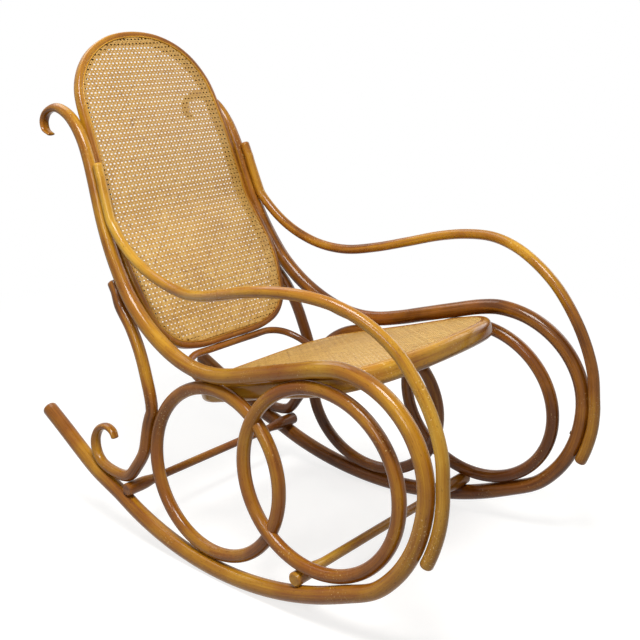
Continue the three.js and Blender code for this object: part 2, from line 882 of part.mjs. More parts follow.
function screwPlace(head, aim, bite = screwBite) {
  const along = new THREE.Vector3().subVectors(aim, head);
  const length = along.length() + bite;
  const matrix = new THREE.Matrix4().compose(
    head,
    new THREE.Quaternion().setFromUnitVectors(new THREE.Vector3(0, 1, 0), along.normalize()),
    new THREE.Vector3(1, 1, 1),
  );
  return { matrix, length };
}

function screwGeometry({ matrix, length }) {
  const profile = [
    [0, screwSink],
    [screwHeadRadius, screwSink],
    [screwHeadRadius, screwSink + screwHead / 2],
    [screwRadius, screwSink + screwHead],
    [screwRadius, length - screwRadius],
    [0, length],
  ];
  const points = profile.map(([r, y]) => new THREE.Vector2(r, y));
  return moved(new THREE.LatheGeometry(points, screwSides), matrix);
}

function screwHole({ matrix, length }) {
  const wide = screwHeadRadius + gap;
  const narrow = screwRadius + gap;
  const profile = [
    [0, -screwBite],
    [wide, -screwBite],
    [wide, screwSink + screwHead / 2 + gap],
    [narrow, screwSink + screwHead + gap],
    [narrow, length + gap],
    [0, length + gap],
  ];
  const points = profile.map(([r, y]) => new THREE.Vector2(r, y));
  return moved(new THREE.LatheGeometry(points, screwSides), matrix);
}

// Screws that lie in a side frame, in its own coordinates
function throughRod(stretch, z, inset) {
  const place = reach(longLine, stretch, "z", z);
  const [head, aim] = [-place.deep, place.deep].map((out) => place.at.clone().addScaledVector(place.outward, out));
  return screwPlace(head.setX(-inset), aim.setX(-inset));
}

const armTopScrew = throughRod("post", armTopLapShares[1] * hookHeight, 0);
const armFootScrew = throughRod("loop", armFootLapShares[2] * hookHeight, armFootInset / 2);
const runnerScrew = (at) => {
  const runner = reach(longLine, "runner", "y", at.y);
  const down = new THREE.Vector3().subVectors(runner.at, at).normalize();
  return screwPlace(at.clone().addScaledVector(down, stretcherEndRadius + gap + 2 * runnerRadius), at, 0);
};
const frontStretcherScrew = runnerScrew(frontStretcherAt);
const rearStretcherScrew = runnerScrew(rearStretcherAt);
const strutTop = reach(longLine, "post", "z", ((strutTopLapShares[0] + strutTopLapShares[1]) / 2) * hookHeight);
const strutScrew = screwPlace(
  strutTop.at.clone().addScaledVector(strutTop.outward, -strutTop.deep - gap - 2 * strutRadius),
  strutTop.at,
  0,
);

// Screws that lie across the chair, in the chair's coordinates, on the left side

function seatFrontScrew() {
  const aim = chairPoint(reach(longLine, "rail", "y", frontSeatScrewShare * sideDepth).at);
  const s = new THREE.Vector3().subVectors(aim, seatFace.origin).dot(seatFace.forward);
  const head = seatBend(new THREE.Vector3(0, s, -seat.thick)).setX(aim.x - seat.width / 2);
  return screwPlace(head, aim, 0);
}

function seatRearScrew() {
  const y = rearSeatScrewShare * sideDepth;
  const ring = closedLine(rearRing).reduce((best, station) => {
    return station.at.z > rearRing.centre.z && Math.abs(station.at.y - y) < Math.abs(best.at.y - y) ? station : best;
  });
  const aim = chairPoint(ring.at);
  const s = new THREE.Vector3().subVectors(aim, seatFace.origin).dot(seatFace.forward);
  const [headDrop, aimDrop] = seatScrewRiseShares.map((share) => share * seat.thick);
  const head = seatBend(new THREE.Vector3(0, s, -headDrop)).setX(aim.x - ringRadius - seat.width - screwSink);
  const through = seatBend(new THREE.Vector3(0, s, -aimDrop)).setX(aim.x - ringRadius);
  return screwPlace(head, through);
}

function backScrew(share) {
  const s = share * back.depth;
  const aim = backBend(new THREE.Vector3(halfSpacing(0, 0), s, -back.thick / 2));
  aim.setX(halfSpacing(aim.y, aim.z));
  const head = aim.clone().setX(backReach(s) - back.width);
  return screwPlace(head, aim, 0);
}

const seatScrews = [seatFrontScrew(), seatRearScrew()];
const backScrews = backScrewShares.map(backScrew);
const mirror = new THREE.Matrix4().makeScale(-1, 1, 1);

// Both hands of a tool that is given for the left side, as closed bodies that face outwards
function bothHands(geometry) {
  return [geometry, geometryOf(solidOf(geometry).transform(mirror.elements))];
}

// Materials

const wood = (color) => new THREE.MeshStandardMaterial({ color, roughness: 0.35, metalness: 0 });
const beech = () => wood(0xa9702c);
const darkBeech = () => wood(0x8a5526);
const caneColour = () => new THREE.MeshStandardMaterial({ color: 0xc9a066, roughness: 0.7, metalness: 0 });
const steel = () => new THREE.MeshStandardMaterial({ color: 0x6f6a62, roughness: 0.45, metalness: 0.9 });

function named(name, geometry, material) {
  const mesh = new THREE.Mesh(geometry, material);
  mesh.name = name;
  return mesh;
}

// The two side frames share their shapes, and the right one is the mirror image of the left

const floor = new THREE.BoxGeometry(sideDepth, 2 * sideDepth, sideDepth).translate(0, 0, -sideDepth / 2);
const floorBelow = floor.applyMatrix4(new THREE.Matrix4().makeTranslation(floorSpacing / 2, 0, 0)).applyMatrix4(toSide);
const lapShare = 1 / 2;
const lapY = THREE.MathUtils.lerp(frontRing.centre.y, rearRing.centre.y, lapShare);
const frontAcross = frontRing.turnIn * (lapY - frontRing.centre.y) - frontRing.inset;
const lapAcross = (frontAcross - rearRing.inset) / 2;
const halfPlane = (side) => {
  const slab = new THREE.BoxGeometry(sideDepth, 2 * sideDepth, 2 * sideDepth);
  return slab.translate(lapAcross + side * (sideDepth / 2 - gap / 2), 0, 0);
};

const screwsInSide = [armTopScrew, armFootScrew, frontStretcherScrew, rearStretcherScrew, strutScrew];
const sideHoles = screwsInSide.map(screwHole);
const crossHoles = [...seatScrews, ...backScrews].map((s) => moved(screwHole(s), toSide));
const ringRods = (extra) => [frontRing, rearRing].map((ring) => {
  return rod(ringStations(ring, ringSteps), { closed: true, extra });
});
const [frontRingRod, rearRingRod] = ringRods(0);
const [frontRingRoom, rearRingRoom] = ringRods(gap);
const armRod = rod(armStations());
const strutRod = rod(strutStations());
const sideShapes = {
  side_member: cut(rod(longRod, { sides: longRodSides }), [floorBelow, ...sideHoles, ...crossHoles]),
  arm: cut(armRod, [sideHoles[0], sideHoles[1]]),
  front_ring: cut(frontRingRod, [common(rearRingRoom, halfPlane(-1))]),
  rear_ring: cut(rearRingRod, [common(frontRingRoom, halfPlane(1)), crossHoles[1]]),
  scroll_strut: cut(strutRod, [sideHoles[4]]),
};
const sideMetal = {
  arm_top_screw: armTopScrew,
  arm_foot_screw: armFootScrew,
  front_stretcher_screw: frontStretcherScrew,
  rear_stretcher_screw: rearStretcherScrew,
  strut_screw: strutScrew,
};

function sideFrame(hand) {
  const place = new THREE.Group();
  place.position.copy(leftPlace.position);
  place.rotation.copy(leftPlace.rotation);
  Object.entries(sideShapes).forEach(([name, geometry]) => {
    place.add(named(`${hand}_${name}`, geometry, name === "side_member" ? beech() : darkBeech()));
  });
  Object.entries(sideMetal).forEach(([name, screw]) => {
    place.add(named(`${hand}_${name}`, screwGeometry(screw), steel()));
  });
  const side = new THREE.Group();
  side.add(place);
  const metal = {
    front_seat_screw: seatScrews[0],
    rear_seat_screw: seatScrews[1],
    lower_back_screw: backScrews[0],
    upper_back_screw: backScrews[1],
  };
  Object.entries(metal).forEach(([name, screw]) => {
    side.add(named(`${hand}_${name}`, screwGeometry(screw), steel()));
  });
  return side;
}

// Frames give way to the rods that are let into them

const rodRoom = moved(rod(longRod, { sides: longRodSides, extra: gap }), toChair);
const seatPanel = panel(seat, seatOutline, seatBend);
const backPanel = panel(back, backOutline, backBend);
const roomFor = (geometries) => geometries.flatMap(bothHands);
const seatFrame = cut(
  seatPanel.frame,
  roomFor([rodRoom, moved(frontRingRoom, toChair), moved(rearRingRoom, toChair), ...seatScrews.map(screwHole)]),
);
const backFrame = cut(backPanel.frame, roomFor([rodRoom, ...backScrews.map(screwHole)]));
const stretcherHoles = [frontStretcherScrew, rearStretcherScrew].map((s) => moved(screwHole(s), toChair));

const chair = new THREE.Group();
const leftSide = sideFrame("left");
const rightSide = sideFrame("right");
rightSide.scale.x = -1;
chair.add(leftSide, rightSide);
chair.add(
  named("front_stretcher", cut(stretcher(frontStretcherAt, frontStretcherWaist), bothHands(stretcherHoles[0])), beech()),
  named("rear_stretcher", cut(stretcher(rearStretcherAt, rearStretcherWaist), bothHands(stretcherHoles[1])), beech()),
  named("back_brace", cut(rod(braceStations()), [underSeat()]), beech()),
  named("seat_frame", seatFrame, beech()),
  named("seat_cane", seatPanel.cane, caneColour()),
  named("seat_cane_spline", seatPanel.spline, caneColour()),
  named("back_frame", backFrame, beech()),
  named("back_cane", backPanel.cane, caneColour()),
  named("back_cane_spline", backPanel.spline, caneColour()),
);

// The origin is on the floor, in the middle of the chair's length
const extent = new THREE.Box3().setFromObject(chair, true);
chair.position.y = -(extent.min.y + extent.max.y) / 2;

export default chair;
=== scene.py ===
import random
from bisect import bisect_right
from math import atan2, cos, hypot, pi, radians, sin, sqrt

import bmesh
import bpy
from mathutils import Matrix, Vector


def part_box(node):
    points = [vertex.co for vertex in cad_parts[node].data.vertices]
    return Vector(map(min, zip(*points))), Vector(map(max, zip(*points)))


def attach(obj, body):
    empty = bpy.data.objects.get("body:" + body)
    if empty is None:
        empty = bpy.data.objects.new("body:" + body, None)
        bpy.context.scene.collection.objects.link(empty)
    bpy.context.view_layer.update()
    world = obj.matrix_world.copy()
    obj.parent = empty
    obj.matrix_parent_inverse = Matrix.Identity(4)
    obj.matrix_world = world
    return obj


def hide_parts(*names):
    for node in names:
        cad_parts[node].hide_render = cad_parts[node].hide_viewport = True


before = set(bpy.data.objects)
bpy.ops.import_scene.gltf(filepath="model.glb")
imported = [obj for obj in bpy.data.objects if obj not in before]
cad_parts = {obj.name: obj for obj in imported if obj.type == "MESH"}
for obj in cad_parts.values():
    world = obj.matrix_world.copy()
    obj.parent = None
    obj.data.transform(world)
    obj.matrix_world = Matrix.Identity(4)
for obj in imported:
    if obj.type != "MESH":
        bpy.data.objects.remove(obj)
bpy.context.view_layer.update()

# A bentwood rocking chair. Sizes are in millimetres until a mesh is finished.
# z is up and the sitter faces -y.

scene = bpy.context.scene
scene.view_settings.view_transform = "Standard"

photoView = {
    "at": (-1.6225, -1.3865, 1.0827),
    "looks": (0.7414, 0.6091, -0.2817),
    "lens": 61.875,
    "film": 36,
}
lens = bpy.data.cameras.new("camera")
lens.lens = photoView["lens"]
lens.sensor_width = photoView["film"]
camera = bpy.data.objects.new("camera", lens)
camera.location = photoView["at"]
camera.rotation_euler = Vector(photoView["looks"]).to_track_quat("-Z", "Y").to_euler()
scene.collection.objects.link(camera)
scene.camera = camera
print("camera is set")

# Lines and stations


def between(a, b, share):
    return a + (b - a) * share


def inPlane(y, z, across=0.0):
    return Vector((across, y, z))


# A smooth curve through all the points, with no loops where they lie unevenly
def smoothAt(points, place, closed=False):
    count = len(points)
    start = int(place)
    if not closed:
        start = min(start, count - 2)
    share = place - start

    def pick(i):
        if closed:
            return points[i % count]
        if i < 0:
            return points[0] * 2 - points[1]
        if i >= count:
            return points[-1] * 2 - points[-2]
        return points[i]

    p0, p1, p2, p3 = [pick(start + k) for k in (-1, 0, 1, 2)]
    d0, d1, d2 = [max((b - a).length ** 0.5, 1e-4) for a, b in ((p0, p1), (p1, p2), (p2, p3))]
    leave = ((p1 - p0) / d0 - (p2 - p0) / (d0 + d1) + (p2 - p1) / d1) * d1
    arrive = ((p2 - p1) / d1 - (p3 - p1) / (d1 + d2) + (p3 - p2) / d2) * d1
    square = (p2 - p1) * 3 - leave * 2 - arrive
    cube = (p1 - p2) * 2 + leave + arrive
    return p1 + leave * share + square * share**2 + cube * share**3


def control(at, wide, deep=None, stretch=""):
    return {"at": at, "wide": wide, "deep": wide if deep is None else deep, "stretch": stretch}


def stationsThrough(controls, perSpan):
    points = [c["at"] for c in controls]
    stations = []
    for i in range((len(points) - 1) * perSpan + 1):
        here = i // perSpan
        share = (i % perSpan) / perSpan
        a = controls[here]
        b = controls[here + 1] if share else a
        stations.append({
            "at": smoothAt(points, i / perSpan),
            "wide": between(a["wide"], b["wide"], share),
            "deep": between(a["deep"], b["deep"], share),
            "stretch": a["stretch"],
        })
    return stations


# The side frame: runner, loop, rail, post and hook are one rod, bent in one plane

sideRod = {
    "depth": 1000,  # shares along y are of this
    "height": 867,  # shares along z are of this
    "spacing": 540,  # between the two sides, at the floor
    "toe": 2.46,
    "camber": 3.1,
    "runnerBend": 735,
    "wearFlat": 0.4,
    "runner": 16.5,  # this and the next three are radii of the rod
    "loop": 15,
    "rail": 15.5,
    "post": 12.5,
    "lowest": -0.02,
    "runnerEnds": (-0.33, 0.29),
    "runnerSteps": 10,
    "tip": [(0.535, 0.2385), (0.475, 0.2), (0.42, 0.1635), (0.365, 0.1295)],
    "lowerLoop": {"centre": (-0.27, 0.357), "reach": (0.221, 0.272), "up": -1, "degrees": (56, 44, 31, 17)},
    "upperLoop": {"centre": (-0.306, 0.357), "reach": (0.185, 0.201), "up": 1, "degrees": range(0, 73, 18)},
    "railLine": [
        (-0.306, 0.558), (-0.262, 0.551), (-0.2, 0.531), (-0.13, 0.507), (-0.06, 0.483),
        (0, 0.468), (0.051, 0.466), (0.102, 0.4765), (0.156, 0.501), (0.209, 0.5385),
    ],
    "postLine": [
        (0.254, 0.586), (0.2865, 0.637), (0.314, 0.691), (0.3355, 0.744),
        (0.353, 0.798), (0.368, 0.8475), (0.383, 0.892), (0.402, 0.934),
    ],
    # y, z, half width across the plane and half thickness in it, as the tip is beaten flat
    "hook": [
        (0.43, 0.972, 1, 0.98), (0.456, 0.991, 0.98, 0.9), (0.486, 1, 0.96, 0.76),
        (0.508, 0.995, 0.94, 0.62), (0.525, 0.982, 0.92, 0.5), (0.532, 0.963, 0.88, 0.4),
        (0.526, 0.945, 0.84, 0.32), (0.509, 0.936, 0.76, 0.26),
    ],
    "sides": 36,
    "lineSteps": 12,  # between two points of the line, where places are looked up
    "bodySteps": 5,  # between two points of the line, where the rod is made
    "grainAt": (0, 6100),
}
gap = 0.3
letIn = 0.8
clearPasses = 3
perMetre = 1000
millimetre = 1 / perMetre
toe = radians(sideRod["toe"])
camber = radians(sideRod["camber"])


def onSide(place, across=0.0):
    return inPlane(place[0] * sideRod["depth"], place[1] * sideRod["height"], across)


def sideControls():
    runner = sideRod["runner"]
    rest = (runner - sideRod["wearFlat"]) / cos(camber)
    lowest = sideRod["lowest"] * sideRod["depth"]
    bend = sideRod["runnerBend"]
    controls = [control(onSide(p), runner, stretch="runner") for p in sideRod["tip"]]
    front, rear = [share * sideRod["depth"] for share in sideRod["runnerEnds"]]
    steps = sideRod["runnerSteps"]
    for i in range(steps + 1):
        y = between(rear, front, i / steps)
        z = rest + bend - sqrt(bend**2 - (y - lowest) ** 2)
        controls.append(control(inPlane(y, z), runner, stretch="runner"))
    for loop in (sideRod["lowerLoop"], sideRod["upperLoop"]):
        (y, z), (acrossY, acrossZ) = loop["centre"], loop["reach"]
        for degrees in loop["degrees"]:
            turn = radians(degrees)
            place = (y - acrossY * cos(turn), z + loop["up"] * acrossZ * sin(turn))
            controls.append(control(onSide(place), sideRod["loop"], stretch="loop"))
    controls += [control(onSide(p), sideRod["rail"], stretch="rail") for p in sideRod["railLine"]]
    for i, place in enumerate(sideRod["postLine"]):
        radius = between(sideRod["rail"], sideRod["post"], (i + 1) / len(sideRod["postLine"]))
        controls.append(control(onSide(place), radius, stretch="post"))
    for y, z, wide, deep in sideRod["hook"]:
        controls.append(control(onSide((y, z)), wide * sideRod["post"], deep * sideRod["post"], "hook"))
    return controls


sideLine = stationsThrough(sideControls(), sideRod["lineSteps"])


# Where a stretch of the side rod reaches a share of the side's depth, along y, or its height, along z
def reach(stretch, axis, share):
    index = "xyz".index(axis)
    value = share * sideRod["depth" if axis == "y" else "height"]
    for a, b in zip(sideLine, sideLine[1:]):
        low, high = a["at"][index], b["at"][index]
        if a["stretch"] == stretch and (low - value) * (high - value) <= 0:
            along = (b["at"] - a["at"]).normalized()
            at = a["at"].lerp(b["at"], (value - low) / ((high - low) or 1))
            return {"at": at, "deep": a["deep"], "outward": inPlane(-along.z, along.y)}
    raise ValueError(f"the {stretch} never reaches {axis} = {value}")


def beside(place, radius, outer):
    distance = place["deep"] + radius + gap
    return place["at"] + place["outward"] * (distance if outer else -distance)


# Stations are moved off the lines that they would run into
def pushedClear(stations, lines):
    for _ in range(clearPasses):
        for station in stations:
            for line in lines:
                best = None
                for a, b in zip(line, line[1:]):
                    step = (b["at"] - a["at"]).yz
                    away = (station["at"] - a["at"]).yz
                    share = min(max(away.dot(step) / (step.dot(step) or 1), 0), 1)
                    away -= step * share
                    clear = away.length - a["deep"] - station["deep"] - gap
                    if best is None or clear < best[0]:
                        best = (clear, away.normalized())
                if best[0] < 0:
                    station["at"] -= inPlane(best[1].x, best[1].y) * best[0]
    return stations


sidePlace = (
    Matrix.Translation((sideRod["spacing"] / 2, 0, 0))
    @ Matrix.Rotation(toe, 4, "Z")
    @ Matrix.Rotation(-camber, 4, "Y")
)


def halfSpacing(y, z):
    normal = sidePlace.col[0]
    return (normal.x * sideRod["spacing"] / 2 - normal.y * y - normal.z * z) / normal.x


# The middle of a CAD node's box and half its size
def boxOf(node):
    low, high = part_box(node)
    return (low + high) / 2 * perMetre, (high - low) / 2 * perMetre


# The stretchers lie on the runners, and the chair is shifted so that its length is centred
stretchers = {
    "end": 14, "chamfer": 3, "barrel": 40, "swell": 92, "swellSteps": 10, "sides": 28,
    "frontWaist": 9.5, "frontGrain": 13000,
    "rear": 0.267, "rearWaist": 9, "rearGrain": 14000,
}
rearRest = beside(reach("runner", "y", stretchers["rear"]), stretchers["end"], False)
setBack = boxOf("rear_stretcher")[0].y - (sidePlace @ rearRest).y
toPart = Matrix.Scale(millimetre, 4) @ Matrix.Translation((0, setBack, 0))

rings = {
    "radius": 13,
    "boxRadii": (1.01, 1.02),  # how many radii the rod adds to its node's box along y and along z
    "frontInset": 3, "frontTurn": 0.035, "frontGrain": (1700, 7700),
    "rearInset": 5, "rearGrain": (2900, 8900),
    "steps": 120, "sides": 36,
}


# A ring sits where its CAD node does: halfway between the rail and the runner
def ringSeat(node, inset, turnIn):
    middle, half = boxOf(node)
    middle = sidePlace.inverted() @ (middle - Vector((0, setBack, 0)))
    radiiAlong, radiiUp = rings["boxRadii"]
    return {
        "centre": inPlane(middle.y, middle.z),
        "width": (half.y - rings["radius"] * radiiAlong) / cos(toe),
        "height": (half.z - rings["radius"] * radiiUp) / cos(camber),
        "inset": inset,
        "turnIn": turnIn,
    }


def ringStations(ring):
    stations = []
    for i in range(rings["steps"]):
        turn = i / rings["steps"] * 2 * pi - pi / 2
        y = ring["width"] * cos(turn)
        at = inPlane(y, ring["height"] * sin(turn), ring["turnIn"] * y - ring["inset"])
        stations.append(control(ring["centre"] + at, rings["radius"]))
    return stations


frontRing = ringSeat("left_front_ring", rings["frontInset"], rings["frontTurn"])
rearRing = ringSeat("left_rear_ring", rings["rearInset"], 0)


# Stations pushed straight out from the middle of a ring until they are clear of it
def outsideRing(stations, ring):
    share = ring["width"] / ring["height"]
    for station in stations:
        ray = inPlane(station["at"].y - ring["centre"].y, station["at"].z - ring["centre"].z)
        turn = atan2(ray.z, ray.y / share)
        reachOut = ring["height"] * hypot(share * cos(turn), sin(turn))
        clear = ray.length - reachOut - rings["radius"] - station["deep"] - 2 * gap
        if clear < 0:
            station["at"] -= ray.normalized() * clear
    return stations


arms = {
    "radius": 10.2, "foot": 12, "bow": 60, "footInset": 8,
    "topLap": (0.87, 0.851, 0.832),
    # y, z, and how far out of the plane as a share of the bow
    "line": [
        (0.342, 0.8, 0), (0.318, 0.762, 0), (0.287, 0.722, 0), (0.245, 0.684, 0), (0.195, 0.656, 0),
        (0.14, 0.639, 0.02), (0.08, 0.634, 0.16), (0.015, 0.645, 0.44), (-0.055, 0.665, 0.74),
        (-0.125, 0.687, 0.95), (-0.19, 0.701, 1), (-0.255, 0.706, 0.88), (-0.315, 0.696, 0.6),
        (-0.37, 0.67, 0.34), (-0.42, 0.629, 0.14), (-0.46, 0.574, 0.02), (-0.49, 0.515, -0.07),
        (-0.51, 0.45, -0.12),
    ],
    "footLap": (0.385, 0.33, 0.285, 0.24),
    "sides": 32, "bodySteps": 5, "grainAt": (4100, 10300),
}


def armStations():
    points = [beside(reach("post", "z", z), arms["radius"], True) for z in arms["topLap"]]
    points += [onSide((y, z), out * arms["bow"]) for y, z, out in arms["line"]]
    aside = Vector((-arms["footInset"], 0, 0))
    points += [beside(reach("loop", "z", z), arms["foot"], True) + aside for z in arms["footLap"]]
    last = len(points) - 1
    controls = []
    for i, point in enumerate(points):
        thicker = max(2 * i / last - 1, 0)  # from the middle of the arm to its foot
        controls.append(control(point, between(arms["radius"], arms["foot"], thicker)))
    return pushedClear(stationsThrough(controls, arms["bodySteps"]), [sideLine])


struts = {
    "radius": 12.5,
    "scroll": 46,
    "topLap": (0.63, 0.614),
    "line": [(0.284, 0.563), (0.252, 0.52), (0.226, 0.472), (0.207, 0.42)],
    "ringLap": (24, 8),
    "bend": [(0.21, 0.228), (0.231, 0.188)],
    "overStretcher": 70,
    "foot": 0.352,
    # turn round the scroll, its radius, and the rod's half width and half thickness
    "turns": [
        (0, 1, 0.94, 0.8), (38, 1, 0.93, 0.76), (76, 1, 0.92, 0.71), (114, 0.99, 0.9, 0.65),
        (150, 0.96, 0.86, 0.58), (178, 0.86, 0.8, 0.5), (196, 0.72, 0.7, 0.42),
    ],
    "sides": 32, "bodySteps": 5, "grainAt": (5300, 11900),
}


def strutStations():
    radius = struts["radius"]
    points = [beside(reach("post", "z", z), radius, False) for z in struts["topLap"]]
    points += [onSide(p) for p in struts["line"]]
    for degrees in struts["ringLap"]:
        turn = radians(degrees)
        along = inPlane(cos(turn) * rearRing["width"] / rearRing["height"], sin(turn))
        onRing = rearRing["centre"] + along * rearRing["height"]
        points.append(onRing + along.normalized() * (rings["radius"] + radius + gap))
    points += [onSide(p) for p in struts["bend"]]
    over = radians(struts["overStretcher"])
    points.append(rearRest + inPlane(cos(over), sin(over)) * (stretchers["end"] + radius + gap))
    controls = [control(p, radius) for p in points]
    foot = reach("runner", "y", struts["foot"])
    foot["deep"] += struts["turns"][0][3] * radius + gap
    centre = beside(foot, struts["scroll"], False)
    down = atan2(foot["outward"].z, foot["outward"].y)
    for degrees, arm, wide, deep in struts["turns"]:
        turn = down + radians(degrees)
        at = centre + inPlane(cos(turn), sin(turn)) * arm * struts["scroll"]
        controls.append(control(at, wide * radius, deep * radius))
    stretcher = control(rearRest, stretchers["end"])
    stations = outsideRing(stationsThrough(controls, struts["bodySteps"]), rearRing)
    return outsideRing(pushedClear(stations, [sideLine, [stretcher, stretcher]]), rearRing)


# Meshes: each rod and frame is a grid laid round its stations and welded at its seams


def layGrid(bm, rows, columns):
    made = bmesh.ops.create_grid(bm, x_segments=columns, y_segments=rows, size=1)["verts"]
    return [made[i * (columns + 1):(i + 1) * (columns + 1)] for i in range(rows + 1)]


def finishMesh(name, bm, material, slot, nodes, place=None, sharp=40, weld=0.002):
    bmesh.ops.remove_doubles(bm, verts=bm.verts, dist=weld)
    if place is not None:
        bmesh.ops.transform(bm, matrix=place, verts=bm.verts)
    bmesh.ops.transform(bm, matrix=toPart, verts=bm.verts)
    bmesh.ops.recalc_face_normals(bm, faces=bm.faces)
    for face in bm.faces:
        face.smooth = True
    for edge in bm.edges:
        edge.smooth = edge.calc_face_angle(0) < radians(sharp)
    mesh = bpy.data.meshes.new(name)
    bm.to_mesh(mesh)
    bm.free()
    mesh.materials.append(material)
    piece = bpy.data.objects.new(name, mesh)
    scene.collection.objects.link(piece)
    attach(piece, "root")
    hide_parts(*nodes)
    return piece


# Each corner of a face carries what its vertex was given
def carry(layer, given):
    for vert, value in given.items():
        for loop in vert.link_loops:
            loop[layer] = value


# How a sawn end is rounded, and how far the rounding stands out as a share of the rod's radius
rodEnds = {"degrees": (25, 50, 70, 90), "share": 0.5}


# Grain is kept in straight-rod coordinates, so that it follows every bend
def bendRod(stations, sides, startsAt, closed=False, across=(1, 0, 0)):
    count = len(stations)
    rows = []
    run = 0.0
    for i, station in enumerate(stations):
        before = stations[i - 1 if closed else max(i - 1, 0)]["at"]
        after = stations[(i + 1) % count if closed else min(i + 1, count - 1)]["at"]
        along = (after - before).normalized()
        depth = along.cross(Vector(across)).normalized()
        width = depth.cross(along)
        rows.append([station["at"], width * station["wide"], depth * station["deep"], run, along])
        run += (stations[(i + 1) % count]["at"] - station["at"]).length
    if closed:
        rows.append(rows[0][:3] + [run, rows[0][4]])
    else:
        first, last = rows[0], rows[-1]
        for degrees in rodEnds["degrees"]:
            turn = radians(degrees)
            narrower = cos(turn)
            for (at, width, depth, length, along), side in ((first, -1), (last, 1)):
                shift = side * depth.length * rodEnds["share"] * sin(turn)
                cap = [at + along * shift, width * narrower, depth * narrower, length + shift, along]
                rows.insert(0 if side < 0 else len(rows), cap)
    bm = bmesh.new()
    grain = bm.loops.layers.float_vector.new("grain")
    grid = layGrid(bm, len(rows) - 1, sides)
    straight = {}
    for (at, width, depth, length, _), line in zip(rows, grid):
        for j, vert in enumerate(line):
            turn = j / sides * 2 * pi
            aside, up = cos(turn), sin(turn)
            vert.co = at + width * aside + depth * up
            offCentre = (aside * width.length, up * depth.length)
            straight[vert] = Vector((*offCentre, startsAt + length)) * millimetre
    carry(grain, straight)
    return bm


# The right side is the left one mirrored, with a grain of its own
def bothSides(name, node, makeBody, material, slot, place, **finish):
    made = []
    for side, hand in enumerate(("left", "right")):
        whole = Matrix.Scale(-1, 4, (1, 0, 0)) @ place if side else place
        nodes = [f"{hand}_{node}"]
        made.append(finishMesh(f"{hand}_{name}", makeBody(side), material, slot, nodes, whole, **finish))
    return made


# Varnished wood and cane


# A screen colour, made linear
def paint(red, green, blue):
    screen = [c / 255 for c in (red, green, blue)]
    return (*[c / 12.92 if c <= 10 / 255 else ((c + 0.055) / 1.055) ** 2.4 for c in screen], 1.0)


def setInputs(made, inputs):
    for key, value in inputs.items():
        if isinstance(value, bpy.types.NodeSocket):
            made.id_data.links.new(value, made.inputs[key])
        else:
            made.inputs[key].default_value = value


def node(tree, kind, inputs=None, **settings):
    made = tree.nodes.new(kind)
    for key, value in settings.items():
        setattr(made, key, value)
    setInputs(made, inputs or {})
    return made


def blankMaterial(name):
    material = bpy.data.materials.new(name)
    material.use_nodes = True
    return material, material.node_tree, material.node_tree.nodes["Principled BSDF"]


def attribute(tree, name):
    return node(tree, "ShaderNodeAttribute", attribute_name=name).outputs["Vector"]


def objectPlace(tree):
    return node(tree, "ShaderNodeTexCoord").outputs["Object"]


def axesOf(vector):
    return node(vector.id_data, "ShaderNodeSeparateXYZ", {"Vector": vector}).outputs


# The tints of a finish, each at its own tone
def toned(tone, finish):
    made = node(tone.id_data, "ShaderNodeValToRGB", {"Fac": tone})
    elements = made.color_ramp.elements
    while len(elements) < len(finish["tones"]):
        elements.new(0.5)
    for element, (tint, position) in zip(elements, finish["tones"].items()):
        element.position = position
        element.color = paint(*finish[tint])
    return made.outputs["Color"]


# Three scales stretch the noise along the piece, and one scale leaves it even
def noise(vector, scale, detail, roughness):
    tree = vector.id_data
    if isinstance(scale, tuple):
        vector = node(tree, "ShaderNodeMapping", {"Vector": vector, "Scale": scale}).outputs["Vector"]
        scale = 1
    inputs = {"Vector": vector, "Scale": scale, "Detail": detail, "Roughness": roughness}
    return node(tree, "ShaderNodeTexNoise", inputs).outputs["Fac"]


def mapped(value, low, high, start=0.0, end=1.0):
    inputs = {"Value": value, "From Min": low, "From Max": high, "To Min": start, "To Max": end}
    return node(value.id_data, "ShaderNodeMapRange", inputs).outputs["Result"]


# A Mix node has its colours at inputs 6 and 7 and gives its colour at output 2
def blended(share, colour, other, kind="MIX"):
    inputs = {0: share, 6: colour, 7: other}
    return node(colour.id_data, "ShaderNodeMix", inputs, data_type="RGBA", blend_type=kind).outputs[2]


def combined(first, second, operation="MULTIPLY"):
    return node(first.id_data, "ShaderNodeMath", {0: first, 1: second}, operation=operation).outputs["Value"]


def raised(height, strength):
    inputs = {"Height": height, "Strength": strength, "Distance": 0.0004}
    return node(height.id_data, "ShaderNodeBump", inputs).outputs["Normal"]


